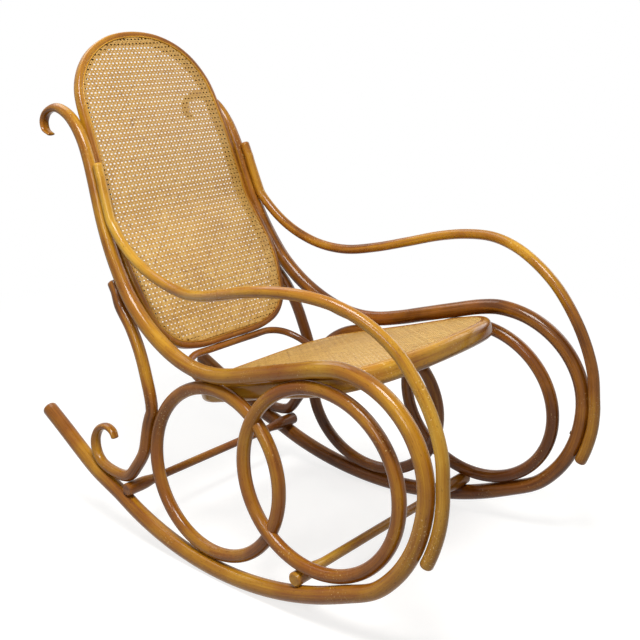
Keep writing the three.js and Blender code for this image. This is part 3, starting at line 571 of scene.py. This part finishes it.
# A noise is its scale, detail and roughness.
# A range is the two readings it runs between and, with four numbers, what they become.
beech = {
    "dark": (88, 48, 8),
    "brown": (146, 90, 22),
    "honey": (184, 132, 30),
    "light": (214, 168, 62),
    "worn": (232, 200, 132),
    "reddened": (144, 78, 28),
    "tones": {"dark": 0.38, "brown": 0.49, "honey": 0.6, "light": 0.74},
    "fibreTints": {"dim": (212, 194, 170), "clear": (255, 255, 255), "tones": {"dim": 0.35, "clear": 0.6}},
    "streaks": ((95, 95, 3.2), 5, 0.6),
    "fibres": ((800, 800, 14), 2, 0.5),
    "flecks": ((620, 620, 130), 1, 0.4),
    "patches": (7, 3, 0.55),
    "redPatches": (6, 2, 0.5),
    "wornPatches": (11, 2, 0.5),
    "rubbedSpots": (260, 2, 0.6),
    "sheen": (42, 3, 0.6),
    "streakShare": 0.4, "patchShare": 0.44, "fibreShare": 0.4,
    # painted shade: the two x readings between which the wood turns from the lighter near side to the darker
    # far side, and how much darker each end is
    "shadeAcrossX": (-0.22, 0.24),
    "sideShade": (-0.13, -0.03),
    "leastRed": (0.1, 0.55, 0.2, 0),  # by height
    "mostRed": (0.4, 0.8, 0.5, 0.1),
    "redRange": (0.5, 0.64),
    "fleckRange": (0.66, 0.74, 0, 0.55),
    "wornRange": (0.5, 0.72),
    "rubbedRange": (0.62, 0.7),
    "roughness": (0.35, 0.7, 0.24, 0.4),
    "specular": 0.05, "varnish": 0.42, "varnishRoughness": 0.14, "bump": 0.12,
}


def varnishedBeech(name, darker, wear):
    material, tree, shader = blankMaterial(name)
    grain, place = attribute(tree, "grain"), objectPlace(tree)
    axes = axesOf(place)
    streaks = combined(noise(grain, *beech["streaks"]), beech["streakShare"])
    patches = combined(noise(place, *beech["patches"]), beech["patchShare"])
    # Painted light and shade across the chair: the near side (-x) is made lighter and the far side (+x)
    # darker
    litSide, shadedSide = [darker + sideShade for sideShade in beech["sideShade"]]
    shade = mapped(axes["X"], *beech["shadeAcrossX"], litSide, shadedSide)
    colour = toned(combined(combined(streaks, patches, "ADD"), shade, "SUBTRACT"), beech)
    leastRed, mostRed = mapped(axes["Z"], *beech["leastRed"]), mapped(axes["Z"], *beech["mostRed"])
    redShare = mapped(noise(place, *beech["redPatches"]), *beech["redRange"], leastRed, mostRed)
    colour = blended(redShare, colour, paint(*beech["reddened"]))
    fibres = noise(grain, *beech["fibres"])
    colour = blended(beech["fibreShare"], colour, toned(fibres, beech["fibreTints"]), "MULTIPLY")
    fleckShare = mapped(noise(grain, *beech["flecks"]), *beech["fleckRange"])
    colour = blended(fleckShare, colour, paint(*beech["dark"]))
    rubbed = mapped(noise(place, *beech["rubbedSpots"]), *beech["rubbedRange"])
    wornPatches = mapped(noise(place, *beech["wornPatches"]), *beech["wornRange"])
    wornShare = combined(rubbed, combined(wornPatches, wear))
    setInputs(shader, {
        "Base Color": blended(wornShare, colour, paint(*beech["worn"])),
        "Roughness": mapped(noise(place, *beech["sheen"]), *beech["roughness"]),
        "Normal": raised(fibres, beech["bump"]),
        "Specular IOR Level": beech["specular"],
        "Coat Weight": beech["varnish"],
        "Coat Roughness": beech["varnishRoughness"],
    })
    return material


# Painted shade: a very dark wood for the ledge and inner wall under the cane
shadedLedgeTints = {
    "dark": (40, 20, 8),
    "light": (74, 42, 16),
    "tones": {"dark": 0.35, "light": 0.65},
    "streaks": ((300, 300, 8), 4, 0.6),
    "roughness": (0.3, 0.7, 0.65, 0.85),
    "specular": 0.2,
    "bump": 0.2,
}


def paintedLedgeShade(name):
    material, tree, shader = blankMaterial(name)
    streaks = noise(attribute(tree, "grain"), *shadedLedgeTints["streaks"])
    setInputs(shader, {
        "Base Color": toned(streaks, shadedLedgeTints),
        "Roughness": mapped(streaks, *shadedLedgeTints["roughness"]),
        "Normal": raised(streaks, shadedLedgeTints["bump"]),
        "Specular IOR Level": shadedLedgeTints["specular"],
    })
    return material


cane = {
    "straw": (192, 148, 72),
    "pale": (208, 174, 102),
    "brown": (154, 112, 48),
    "stain": (104, 66, 24),
    "tones": {"brown": 0.25, "straw": 0.45, "pale": 0.75},
    "fibres": ((60, 900, 30), 3, 0.6),
    "soil": (6.5, 4, 0.6),
    "spots": (70, 2, 0.5),
    "strandShare": 0.35,
    "fibreShare": 0.6,
    "brownRange": (0.5, 0.8, 0, 0.45),  # by height
    "soilRange": (0.5, 0.72, 0, 0.6),
    "spotRange": (0.64, 0.75, 0, 0.5),
    "roughness": (0.3, 0.7, 0.42, 0.62),
}


def wovenCane(name):
    material, tree, shader = blankMaterial(name)
    strand, place = attribute(tree, "strand"), objectPlace(tree)
    fibres = noise(strand, *cane["fibres"])
    strandTone = combined(axesOf(strand)["X"], cane["strandShare"])
    tone = combined(strandTone, combined(fibres, cane["fibreShare"]), "ADD")
    brown = paint(*cane["brown"])
    colour = blended(mapped(axesOf(place)["Z"], *cane["brownRange"]), toned(tone, cane), brown)
    soil = mapped(noise(place, *cane["soil"]), *cane["soilRange"])
    spots = mapped(noise(place, *cane["spots"]), *cane["spotRange"])
    setInputs(shader, {
        "Base Color": blended(spots, blended(soil, colour, brown), paint(*cane["stain"])),
        "Roughness": mapped(fibres, *cane["roughness"]),
    })
    return material


metal = {
    "brown": (70, 52, 38),
    "dull": (112, 100, 84),
    "bright": (160, 152, 138),
    "tones": {"brown": 0.35, "dull": 0.5, "bright": 0.7},
    "tarnish": (420, 4, 0.6),
    "roughness": (0.3, 0.7, 0.6, 0.32),
    "metallic": 0.85,
}


def agedSteel(name):
    material, tree, shader = blankMaterial(name)
    tarnish = noise(objectPlace(tree), *metal["tarnish"])
    setInputs(shader, {
        "Base Color": toned(tarnish, metal),
        "Roughness": mapped(tarnish, *metal["roughness"]),
        "Metallic": metal["metallic"],
    })
    return material


# Copies of one beech that differ only in how dark they are. The lighter copy is painted light on the arms,
# seat frame and front stretcher, which face the light from above and in front. The darker copy is painted
# shade on the rings, struts and rear stretcher, which stand lower or under the seat.
honeyBeech = varnishedBeech("honey_beech", darker=0.0, wear=0.6)
shadedBeech = varnishedBeech("shaded_beech", darker=0.04, wear=0.6)
litBeech = varnishedBeech("lit_beech", darker=-0.08, wear=0.75)
caneStrands = wovenCane("cane_strands")
reedSpline = varnishedBeech("reed_spline", darker=-0.08, wear=0.2)
ledgeShadeMaterial = paintedLedgeShade("ledge_shade_wood")
steel = agedSteel("aged_steel")
print("materials are ready")


# Side members, rings, arms and struts


def sideMemberBody(side):
    stations = stationsThrough(sideControls(), sideRod["bodySteps"])
    return bendRod(stations, sideRod["sides"], sideRod["grainAt"][side])


def ringBody(ring, startsAt):
    return bendRod(ringStations(ring), rings["sides"], startsAt, closed=True)


def strutBody(side):
    return bendRod(strutStations(), struts["sides"], struts["grainAt"][side])


members = bothSides("bent_side_member", "side_member", sideMemberBody, honeyBeech, "frame_wood", sidePlace)
for member in members:  # the runners are worn flat where they stand
    for vertex in member.data.vertices:
        vertex.co.z = max(vertex.co.z, 0)
otherRods = {
    "bent_front_ring": (lambda side: ringBody(frontRing, rings["frontGrain"][side]), shadedBeech),
    "bent_rear_ring": (lambda side: ringBody(rearRing, rings["rearGrain"][side]), shadedBeech),
    "bowed_arm": (lambda side: bendRod(armStations(), arms["sides"], arms["grainAt"][side]), litBeech),
    "bent_scroll_strut": (strutBody, shadedBeech),
}
for name, (makeBody, wood) in otherRods.items():
    bothSides(name, name.split("_", 1)[1], makeBody, wood, "frame_wood", sidePlace)
print("side frames are bent")


# Turned stretchers


def spunRound(points, axis, sides):
    bm = bmesh.new()
    line = [bm.verts.new(point) for point in points]
    edges = [bm.edges.new(pair) for pair in zip(line, line[1:])]
    bmesh.ops.spin(
        bm, geom=line + edges, cent=(0, 0, 0), axis=axis, angle=2 * pi, steps=sides, use_merge=True,
    )
    return bm


def turnedStretcher(name, waist, startsAt, wood):
    middle, size = boxOf(name)
    half = size.x
    end, chamfer = stretchers["end"], stretchers["chamfer"]
    barrel, swell = half - stretchers["barrel"], half - stretchers["swell"]
    profile = [(0, half), (end - chamfer, half), (end, half - chamfer), (end, barrel)]
    steps = stretchers["swellSteps"]
    for i in range(1, steps + 1):
        ease = (1 - cos(i / steps * pi)) / 2
        profile.append((between(end, waist, ease), between(barrel, swell, i / steps)))
    profile += [(radius, -x) for radius, x in reversed(profile)]
    bm = spunRound([(x, 0, radius) for radius, x in profile], (1, 0, 0), stretchers["sides"])
    grain = bm.loops.layers.float_vector.new("grain")
    straight = {}
    for vert in bm.verts:
        straight[vert] = Vector((vert.co.y, vert.co.z, vert.co.x + startsAt)) * millimetre
    carry(grain, straight)
    place = Matrix.Translation((0, middle.y - setBack, middle.z))
    finishMesh(f"turned_{name}", bm, wood, "frame_wood", [name], place)


turnedStretcher("front_stretcher", stretchers["frontWaist"], stretchers["frontGrain"], litBeech)
turnedStretcher("rear_stretcher", stretchers["rearWaist"], stretchers["rearGrain"], shadedBeech)
print("stretchers are turned")

# Framed cane panels are laid out flat as x, distance s along the panel and height b above its face

seat = {
    "depth": 519, "width": 42, "thick": 37, "landRoom": 0.4, "round": 11.5, "inner": 5,
    "grooveSet": 13, "grooveWidth": 6, "grooveDepth": 8, "sideRoom": 6, "steps": 176,
    "rear": 0.141,
    "rests": (-0.24, -0.11),
    "frontScrew": -0.1,
    "shoulder": 0.7,
    "outline": [
        (0, 0), (0.38, 0.003), (0.6, 0.021), (0.74, 0.054), (0.84, 0.102), (0.898, 0.16),
        (0.92, 0.235), (0.926, 0.31), (0.934, 0.42), (0.952, 0.53), (0.985, 0.625), (1, 0.7),
        (0.992, 0.77), (0.94, 0.84), (0.82, 0.902), (0.65, 0.946), (0.38, 0.971), (0, 0.98),
    ],
    "frameGrain": 15000,
    "reedGrain": 19000,
}
back = {
    "depth": 694, "width": 25, "thick": 20, "setback": 4, "landRoom": 3.5, "round": 6, "inner": 4,
    "grooveSet": 11, "grooveWidth": 5.6, "grooveDepth": 7, "steps": 208,
    "foot": [(0.2, 0.438), (0.228, 0.512), (0.258, 0.588), (0.302, 0.678)],
    "posts": (0.75, 0.819, 0.888),
    "head": [(0.405, 0.946), (0.426, 1), (0.447, 1.054), (0.467, 1.11), (0.49, 1.172)],
    "footOutline": [(0, 0), (0.43, 0.003), (0.69, 0.028), (0.86, 0.084), (0.955, 0.175)],
    "sides": (0.27, 0.36, 0.45, 0.54, 0.63, 0.71),
    "crown": 0.75,
    "crownPower": 0.94,
    "crownDegrees": (14, 28, 42, 56, 72),
    "screws": {"lower_back_screw": 0.36, "upper_back_screw": 0.63},
    "frameGrain": 17000,
    "reedGrain": 21000,
}
canes = {
    "sheet": 1.8, "lip": 1.5, "proud": 0.8, "reedSteps": 6, "grooveEdge": 0.6, "pitch": 10,
    "pairs": {"uprights": 0.17, "crosswise": 0.21},
    "wide": {"uprights": 2.1, "crosswise": 2.7, "slanting": 2.6},
    "snug": 0.5,  # how much wider the strands are at the foot of a panel
    "snugFall": 1.6,
    "pairLift": 0.3, "slantLift": 0.75, "crown": 0.35, "under": 0.2, "tuck": 1.2,
    "endBend": [(0, -1.2), (1.0, -0.3)],  # distance from the strand's end and height there
    "endRoom": 2,
}


def outlineLine(half, steps):
    mirrored = [(-x, s) for x, s in reversed(half[1:-1])]
    corners = [Vector((x, s, 0)) for x, s in half + mirrored]
    points = [smoothAt(corners, i / steps * len(corners), True) for i in range(steps)]
    line = []
    for i, at in enumerate(points):
        along = (points[(i + 1) % steps] - points[i - 1]).normalized()
        line.append((at, Vector((along.y, -along.x, 0))))
    return line


restFront, restRear = [sidePlace @ reach("rail", "y", y)["at"] for y in seat["rests"]]
seatForward = inPlane(restFront.y - restRear.y, restFront.z - restRear.z).normalized()
seatUp = inPlane(seatForward.z, -seatForward.y)
seatRearY = seat["rear"] * sideRod["depth"]
seatOrigin = inPlane(seatRearY, restRear.z + (seatRearY - restRear.y) * seatForward.z / seatForward.y)
seatOrigin -= seatUp * (sideRod["rail"] + gap - letIn)


def seatBend(x, s, b):
    at = seatOrigin + seatForward * s + seatUp * b
    return Vector((x, at.y, at.z))


shoulder = seatBend(0, seat["shoulder"] * seat["depth"], -seat["thick"] / 2)
seatHalf = halfSpacing(shoulder.y, shoulder.z) - seat["sideRoom"]
seatOutline = outlineLine([(x * seatHalf, s * seat["depth"]) for x, s in seat["outline"]], seat["steps"])


def backTable():
    points = [onSide(p) for p in back["foot"]]
    for z in back["posts"]:
        post = reach("post", "z", z)
        at = sidePlace @ (post["at"] - post["outward"] * back["setback"])
        points.append(inPlane(at.y, at.z))
    points += [onSide(p) for p in back["head"]]
    fine = 40
    line = [smoothAt(points, i / fine) for i in range((len(points) - 1) * fine + 1)]
    runs = [0.0]
    for a, b in zip(line, line[1:]):
        runs.append(runs[-1] + (b - a).length)
    return line, runs


backLine, backRuns = backTable()


def backAt(s):
    last = len(backLine) - 1
    low = bisect_right(backRuns, s, 1, last) - 1
    along = (backLine[min(low + 2, last)] - backLine[max(low - 1, 0)]).normalized()
    step = backLine[low + 1] - backLine[low]
    return backLine[low] + step.normalized() * (s - backRuns[low]), along


def backBend(x, s, b):
    at, along = backAt(s)
    at = at + inPlane(-along.z, along.y) * (b + back["thick"] / 2)
    return Vector((x, at.y, at.z))


def backReach(s):
    at = backAt(min(s, backRuns[-1]))[0]
    lowest, highest = sideRod["postLine"][0][1], sideRod["postLine"][-1][1]
    within = 0.0001
    height = min(max(at.z / sideRod["height"], lowest + within), highest - within)
    return halfSpacing(at.y, at.z) - reach("post", "z", height)["deep"] - gap + letIn


def backHalf():
    depth = back["depth"]
    crownFrom = back["crown"] * depth
    crownHalf = backReach(crownFrom)
    half = [(x * backReach(s * depth), s * depth) for x, s in back["footOutline"]]
    half += [(backReach(s * depth), s * depth) for s in back["sides"]]
    for degrees in back["crownDegrees"]:
        turn = radians(degrees)
        x = crownHalf * cos(turn) ** back["crownPower"]
        half.append((x, crownFrom + (depth - crownFrom) * sin(turn) ** back["crownPower"]))
    return half + [(0, depth)]


backOutline = outlineLine(backHalf(), back["steps"])


def corner(radius, centreA, centreB, start, steps=6):
    turns = [radians(start + 90 * i / steps) for i in range(steps + 1)]
    return [(centreA + radius * cos(t), centreB + radius * sin(t)) for t in turns]


# Section of a frame, from its outer edge inwards and from its face down
def frameSection(f):
    groove = f["grooveSet"] + f["grooveWidth"]
    land = -canes["sheet"] - f["landRoom"]
    r, inner = f["round"], f["inner"]
    edge = canes["grooveEdge"]
    section = corner(r, -r, -f["thick"] + r, -90) + corner(r, -r, -r, 0)
    section += corner(edge, -f["grooveSet"] + edge, -edge, 90, 2)
    section += [(-f["grooveSet"], -f["grooveDepth"]), (-groove, -f["grooveDepth"])]
    section += [(-groove, land)]
    section += corner(inner, -f["width"] + inner, land - inner, 90)
    section += corner(inner, -f["width"] + inner, -f["thick"] + inner, 180)
    return section


def reedSection(f):
    wall = -f["grooveSet"] - f["grooveWidth"]
    first, last = wall + canes["lip"] + 2 * gap, -f["grooveSet"] - gap
    half = (last - first) / 2
    floor = -f["grooveDepth"] + gap
    section = [(first, floor), (last, floor)]
    steps = canes["reedSteps"]
    for i in range(steps + 1):
        turn = radians(180 * i / steps)
        section.append((first + half + half * cos(turn), canes["proud"] * sin(turn)))
    return section


# The ledge under the cane and the inner wall below it are painted very dark, as painted shade for the gap
# under the cane that shows through its holes
def ledgeOf(f):
    groove = f["grooveSet"] + f["grooveWidth"]
    land = -canes["sheet"] - f["landRoom"]
    slack = 0.01
    return lambda a, b: a < slack - groove and f["inner"] - f["thick"] - slack < b < land + slack


def loopBody(outline, section, bend, startsAt, inLedgeShade=None):
    bm = bmesh.new()
    grain = bm.loops.layers.float_vector.new("grain")
    grid = layGrid(bm, len(outline), len(section))
    straight = {}
    run = 0.0
    for i, line in enumerate(grid):
        at, out = outline[i % len(outline)]
        if i:
            run += (at - outline[i - 1][0]).length
        for j, vert in enumerate(line):
            a, b = section[j % len(section)]
            flat = at + out * a
            vert.co = bend(flat.x, flat.y, b)
            straight[vert] = Vector((a, b, startsAt + run)) * millimetre
    carry(grain, straight)
    # faces on the ledge and inner wall take the second material, the painted shade
    for face in bm.faces:
        if inLedgeShade and all(inLedgeShade(*(straight[vert].xy * perMetre)) for vert in face.verts):
            face.material_index = 1
    return bm


panels = {"seat": (seat, seatOutline, seatBend, litBeech), "back": (back, backOutline, backBend, honeyBeech)}
for panel, (f, outline, bend, wood) in panels.items():
    body = loopBody(outline, frameSection(f), bend, f["frameGrain"], ledgeOf(f))
    hoop = finishMesh(f"caned_{panel}_frame", body, wood, "frame_wood", [f"{panel}_frame"])
    hoop.data.materials.append(ledgeShadeMaterial)
for panel, (f, outline, bend, _) in panels.items():
    reed = loopBody(outline, reedSection(f), bend, f["reedGrain"])
    finishMesh(f"{panel}_reed", reed, reedSpline, "cane_spline", [f"{panel}_cane_spline"])
print("frames and reeds are laid")


# The cane: pairs of strands both ways, and slanting strands over one pair and under the other


# Where a strand that starts at x, s and runs along dx, ds crosses the border first and last
def crossings(border, x, s, dx, ds):
    found = []
    for (ax, ay), (bx, by) in zip(border, border[1:] + border[:1]):
        ex, ey = bx - ax, by - ay
        turn = dx * ey - ds * ex
        if abs(turn) > 1e-9:
            qx, qy = ax - x, ay - s
            if 0 <= (qx * ds - qy * dx) / turn < 1:
                found.append((qx * ey - qy * ex) / turn)
    return (min(found), max(found)) if len(found) > 1 else None


# Each strand is a place, a direction and its heights at shares of the pitch
def strandLines(border, kind):
    pitch = canes["pitch"]
    lift, slantLift = canes["pairLift"], canes["slantLift"]
    half = int(max(x for x, _ in border) / pitch) + 2
    rows = int(max(s for _, s in border) / pitch) + 2
    lines = []
    if kind in canes["pairs"]:
        upright = kind == "uprights"
        crossed = canes["pairs"]["crosswise" if upright else "uprights"]
        for i in range(-half, half + 1) if upright else range(rows):
            for side in (-1, 1):
                up = lift * (-side if upright else side)
                heights = [(-crossed, -up), (crossed, up), (0.5, 0)]
                at = (i + side * canes["pairs"][kind]) * pitch
                lines.append((at, 0, 0, 1, heights) if upright else (0, at, 1, 0, heights))
    else:
        for k in range(-half - rows, half + rows):
            x = (k + 0.5) * pitch
            lines.append((x, 0, 1, 1, [(0, -slantLift), (0.5, slantLift)]))
            lines.append((x, 0, -1, 1, [(0, slantLift), (0.5, -slantLift)]))
    return lines


# Places and heights where a strand bends, from one end to the other
def strandKnots(low, high, heights):
    pitch, room = canes["pitch"], canes["endRoom"]
    knots = [(low + away, height) for away, height in canes["endBend"]]
    for n in range(int(low / pitch) - 2, int(high / pitch) + 3):
        for place, height in heights:
            value = (n + place) * pitch
            if low + room < value < high - room:
                knots.append((value, height))
    return knots + [(high - away, height) for away, height in reversed(canes["endBend"])]


def wovenBody(outline, f, bend, kind):
    edge = f["grooveSet"] + f["grooveWidth"] - canes["tuck"]
    border = [(at - out * edge).xy[:] for at, out in outline]
    chance = random.Random(kind)
    bm = bmesh.new()
    layer = bm.loops.layers.float_vector.new("strand")
    wide = canes["wide"][kind]
    section = [(-1, 0), (0, -canes["under"]), (1, 0), (0, canes["crown"]), (-1, 0)]
    for x, s, dx, ds, heights in strandLines(border, kind):
        ends = crossings(border, x, s, dx, ds)
        if ends is None or ends[1] - ends[0] < canes["pitch"] / 2:
            continue
        # places are measured along x, or along s for an upright
        start = s if dx == 0 else x
        step = ds if dx == 0 else dx
        low, high = sorted((start + step * ends[0], start + step * ends[1]))
        knots = strandKnots(low, high, heights)
        normal = Vector((-ds, dx)).normalized() * wide / 2
        tone = chance.random()
        grid = layGrid(bm, len(knots) - 1, len(section) - 1)
        values = {}
        for (value, height), line in zip(knots, grid):
            t = (value - start) / step
            middle = Vector((x + dx * t, s + ds * t))
            snug = 1 + canes["snug"] * min(max(1 - middle.y / f["depth"] * canes["snugFall"], 0), 1)
            level = height - canes["sheet"] / 2
            for (across, up), vert in zip(section, line):
                flat = middle + normal * across * snug
                vert.co = bend(flat.x, flat.y, level + up)
                values[vert] = Vector((tone, across * wide * millimetre, value * millimetre + tone))
        carry(layer, values)
    bmesh.ops.remove_doubles(bm, verts=bm.verts, dist=0.001)
    bmesh.ops.holes_fill(bm, edges=bm.edges, sides=4)
    return bm


for kind in ("uprights", "crosswise", "slanting"):
    for panel, (f, outline, bend, _) in panels.items():
        body = wovenBody(outline, f, bend, kind)
        nodes = [f"{panel}_cane"]
        finishMesh(f"{panel}_cane_{kind}", body, caneStrands, "woven_cane", nodes, sharp=75, weld=0.0001)
    print(f"cane {kind} are woven")

# The brace arches from the seat up to the foot of the back frame

brace = {
    "radius": 7.5, "cadSides": 8, "sides": 18, "bodySteps": 6, "grainAt": 23000,
    "spans": (0.26, 0.46, 0.58, 0.645),
    "drops": (0, 0.02, 0.22, 0.6),
    "foot": 0.66,
    "inset": 14,
}


def braceBody():
    reachOut = brace["radius"] / cos(pi / brace["cadSides"])
    top = backBend(0, -reachOut - gap, -back["thick"] / 2)
    footing = seatBend(0, brace["inset"], -brace["radius"])
    half = []
    for x, drop in zip(brace["spans"], brace["drops"]):
        at = top.lerp(footing, drop)
        half.append(Vector((x * seatHalf, at.y, at.z)))
    half.append(Vector((brace["foot"] * seatHalf, footing.y, footing.z)))
    controls = [Vector((-p.x, p.y, p.z)) for p in reversed(half)] + half
    rise = top - footing
    facing = Vector((1, 0, 0)).cross(inPlane(rise.y, rise.z).normalized()).normalized()
    stations = stationsThrough([control(p, brace["radius"]) for p in controls], brace["bodySteps"])
    return bendRod(stations, brace["sides"], brace["grainAt"], across=facing)


finishMesh("arched_back_brace", braceBody(), honeyBeech, "frame_wood", ["back_brace"])
print("brace is bent")

# Slotted screws, with their heads level with the wood

screws = {
    "head": 4.2, "dome": 0.5, "rim": 0.2, "cone": 2.4, "shank": 2.2, "length": 12,
    "domeShares": [(0, 1), (0.5, 0.75), (0.9, 0.2)],
    "slot": 1.0, "slotDepth": 0.9, "sides": 20,
}


def screwBody():
    head, shank = screws["head"], screws["shank"]
    profile = [(x * head, z * screws["dome"]) for x, z in screws["domeShares"]]
    profile += [(head, -screws["rim"]), (shank, -screws["cone"])]
    profile += [(shank, -screws["length"]), (0, -screws["length"])]
    bm = spunRound([(radius, 0, z) for radius, z in profile], (0, 0, 1), screws["sides"])
    bmesh.ops.remove_doubles(bm, verts=bm.verts, dist=0.001)
    bmesh.ops.recalc_face_normals(bm, faces=bm.faces)
    half = screws["slot"] / 2
    for side in (-half, half):
        whole = bm.verts[:] + bm.edges[:] + bm.faces[:]
        bmesh.ops.bisect_plane(bm, geom=whole, plane_co=(0, side, 0), plane_no=(0, 1, 0))
    centres = [(face, face.calc_center_median()) for face in bm.faces]
    slot = [face for face, middle in centres if abs(middle.y) < half and middle.z > -screws["rim"]]
    sunk = bmesh.ops.extrude_face_region(bm, geom=slot)["geom"]
    verts = [g for g in sunk if isinstance(g, bmesh.types.BMVert)]
    bmesh.ops.translate(bm, vec=(0, 0, -screws["slotDepth"]), verts=verts)
    return bm


def headTurn(head, aim):
    inward = (aim - head).normalized()
    return Matrix.Translation(head) @ (-inward).to_track_quat("Z", "Y").to_matrix().to_4x4()


def throughRod(stretch, height, inset):
    place = reach(stretch, "z", height)
    aside = Vector((-inset, 0, 0))
    return headTurn(place["at"] - place["outward"] * place["deep"] + aside, place["at"] + aside)


def underRunner(at):
    runner = reach("runner", "y", at.y / sideRod["depth"])
    down = (runner["at"] - at).normalized()
    return headTurn(at + down * (stretchers["end"] + gap + 2 * sideRod["runner"]), at)


frontMiddle = boxOf("front_stretcher")[0]
frontY = frontMiddle.y - setBack
frontFoot = Vector((halfSpacing(frontY, frontMiddle.z), frontY, frontMiddle.z))
frontRest = sidePlace.inverted() @ frontFoot
strutTop = reach("post", "z", sum(struts["topLap"]) / 2)
strutHead = strutTop["at"] - strutTop["outward"] * (strutTop["deep"] + gap + 2 * struts["radius"])
sideScrews = {
    "arm_top_screw": throughRod("post", arms["topLap"][1], 0),
    "arm_foot_screw": throughRod("loop", arms["footLap"][2], arms["footInset"] / 2),
    "front_stretcher_screw": underRunner(frontRest),
    "rear_stretcher_screw": underRunner(rearRest),
    "strut_screw": headTurn(strutHead, strutTop["at"]),
}
screwPlaces = {name: sidePlace @ headPlace for name, headPlace in sideScrews.items()}

aim = sidePlace @ reach("rail", "y", seat["frontScrew"])["at"]
seatHead = seatBend(0, (aim - seatOrigin).dot(seatForward), -seat["thick"])
seatHead.x = aim.x - seat["width"] / 2
screwPlaces["front_seat_screw"] = headTurn(seatHead, aim)
for name, share in back["screws"].items():
    s = share * back["depth"]
    aim = backBend(0, s, -back["thick"] / 2)
    aim.x = halfSpacing(aim.y, aim.z)
    head = aim.copy()
    head.x = backReach(s) - back["width"]
    screwPlaces[name] = headTurn(head, aim)
for name, place in screwPlaces.items():
    bothSides(f"slotted_{name}", name, lambda side: screwBody(), steel, "screw_steel", place, sharp=30)
for hand in ("left", "right"):
    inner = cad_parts[f"{hand}_rear_seat_screw"]
    inner.data.materials.clear()
    inner.data.materials.append(steel)
print("screws are set")

# Floor and light

studio = {
    "floor": (164, 162, 158),
    "floorHalf": 14,
    "lift": 0.76,
    "clear": (0.9, 2.2),
    "world": 0.08,
    "aim": (0, 0, 0.45),
    # a lamp is its place, its size and its power
    "key": ((-0.9, -0.6, 2.55), 0.9, 66),
    "glint": ((-2.1, -0.9, 1.7), 0.6, 12),
    "fill": ((3.0, -0.6, 1.7), 1.6, 22),
    "rear": ((0.2, 2.0, 3.0), 1.8, 36),
}
white = (1, 1, 1, 1)


# Near the chair the floor keeps its shadow, and further out it turns white
def makeFloor():
    bm = bmesh.new()
    bmesh.ops.create_grid(bm, x_segments=2, y_segments=2, size=studio["floorHalf"])
    mesh = bpy.data.meshes.new("floor")
    bm.to_mesh(mesh)
    bm.free()
    material, tree, shader = blankMaterial("pale_floor")
    away = node(tree, "ShaderNodeVectorMath", {0: objectPlace(tree)}, operation="LENGTH").outputs["Value"]
    rays = node(tree, "ShaderNodeLightPath").outputs
    seen = combined(rays["Is Camera Ray"], rays["Is Glossy Ray"], "MAXIMUM")
    setInputs(shader, {
        "Base Color": paint(*studio["floor"]),
        "Roughness": 0.9,
        "Specular IOR Level": 0.1,
        "Emission Color": white,
        "Emission Strength": combined(seen, studio["lift"]),
    })
    plain = node(tree, "ShaderNodeEmission", {"Color": white, "Strength": 1.0}).outputs["Emission"]
    share = combined(mapped(away, *studio["clear"]), seen)
    mixed = node(tree, "ShaderNodeMixShader", {0: share, 1: shader.outputs["BSDF"], 2: plain})
    setInputs(tree.nodes["Material Output"], {"Surface": mixed.outputs["Shader"]})
    mesh.materials.append(material)
    floor = bpy.data.objects.new("floor", mesh)
    scene.collection.objects.link(floor)


def softLamp(name, at, size, power):
    lamp = bpy.data.lights.new(name, "AREA")
    lamp.size = size
    lamp.energy = power
    made = bpy.data.objects.new(name, lamp)
    made.location = at
    made.rotation_euler = (Vector(studio["aim"]) - Vector(at)).to_track_quat("-Z", "Y").to_euler()
    scene.collection.objects.link(made)


def paleWorld():
    world = bpy.data.worlds.new("studio")
    scene.world = world
    world.use_nodes = True
    tree = world.node_tree
    lit = tree.nodes["Background"]
    setInputs(lit, {"Color": white, "Strength": studio["world"]})
    seen = node(tree, "ShaderNodeBackground", {"Color": white, "Strength": 1}).outputs["Background"]
    rays = node(tree, "ShaderNodeLightPath").outputs
    shown = combined(rays["Is Camera Ray"], rays["Is Glossy Ray"], "MAXIMUM")
    shown = combined(shown, rays["Is Transmission Ray"], "MAXIMUM")
    mixed = node(tree, "ShaderNodeMixShader", {0: shown, 1: lit.outputs["Background"], 2: seen})
    setInputs(tree.nodes["World Output"], {"Surface": mixed.outputs["Shader"]})


makeFloor()
for lampName in ("key", "glint", "fill", "rear"):
    softLamp(lampName, *studio[lampName])
paleWorld()
print("floor and light are set")
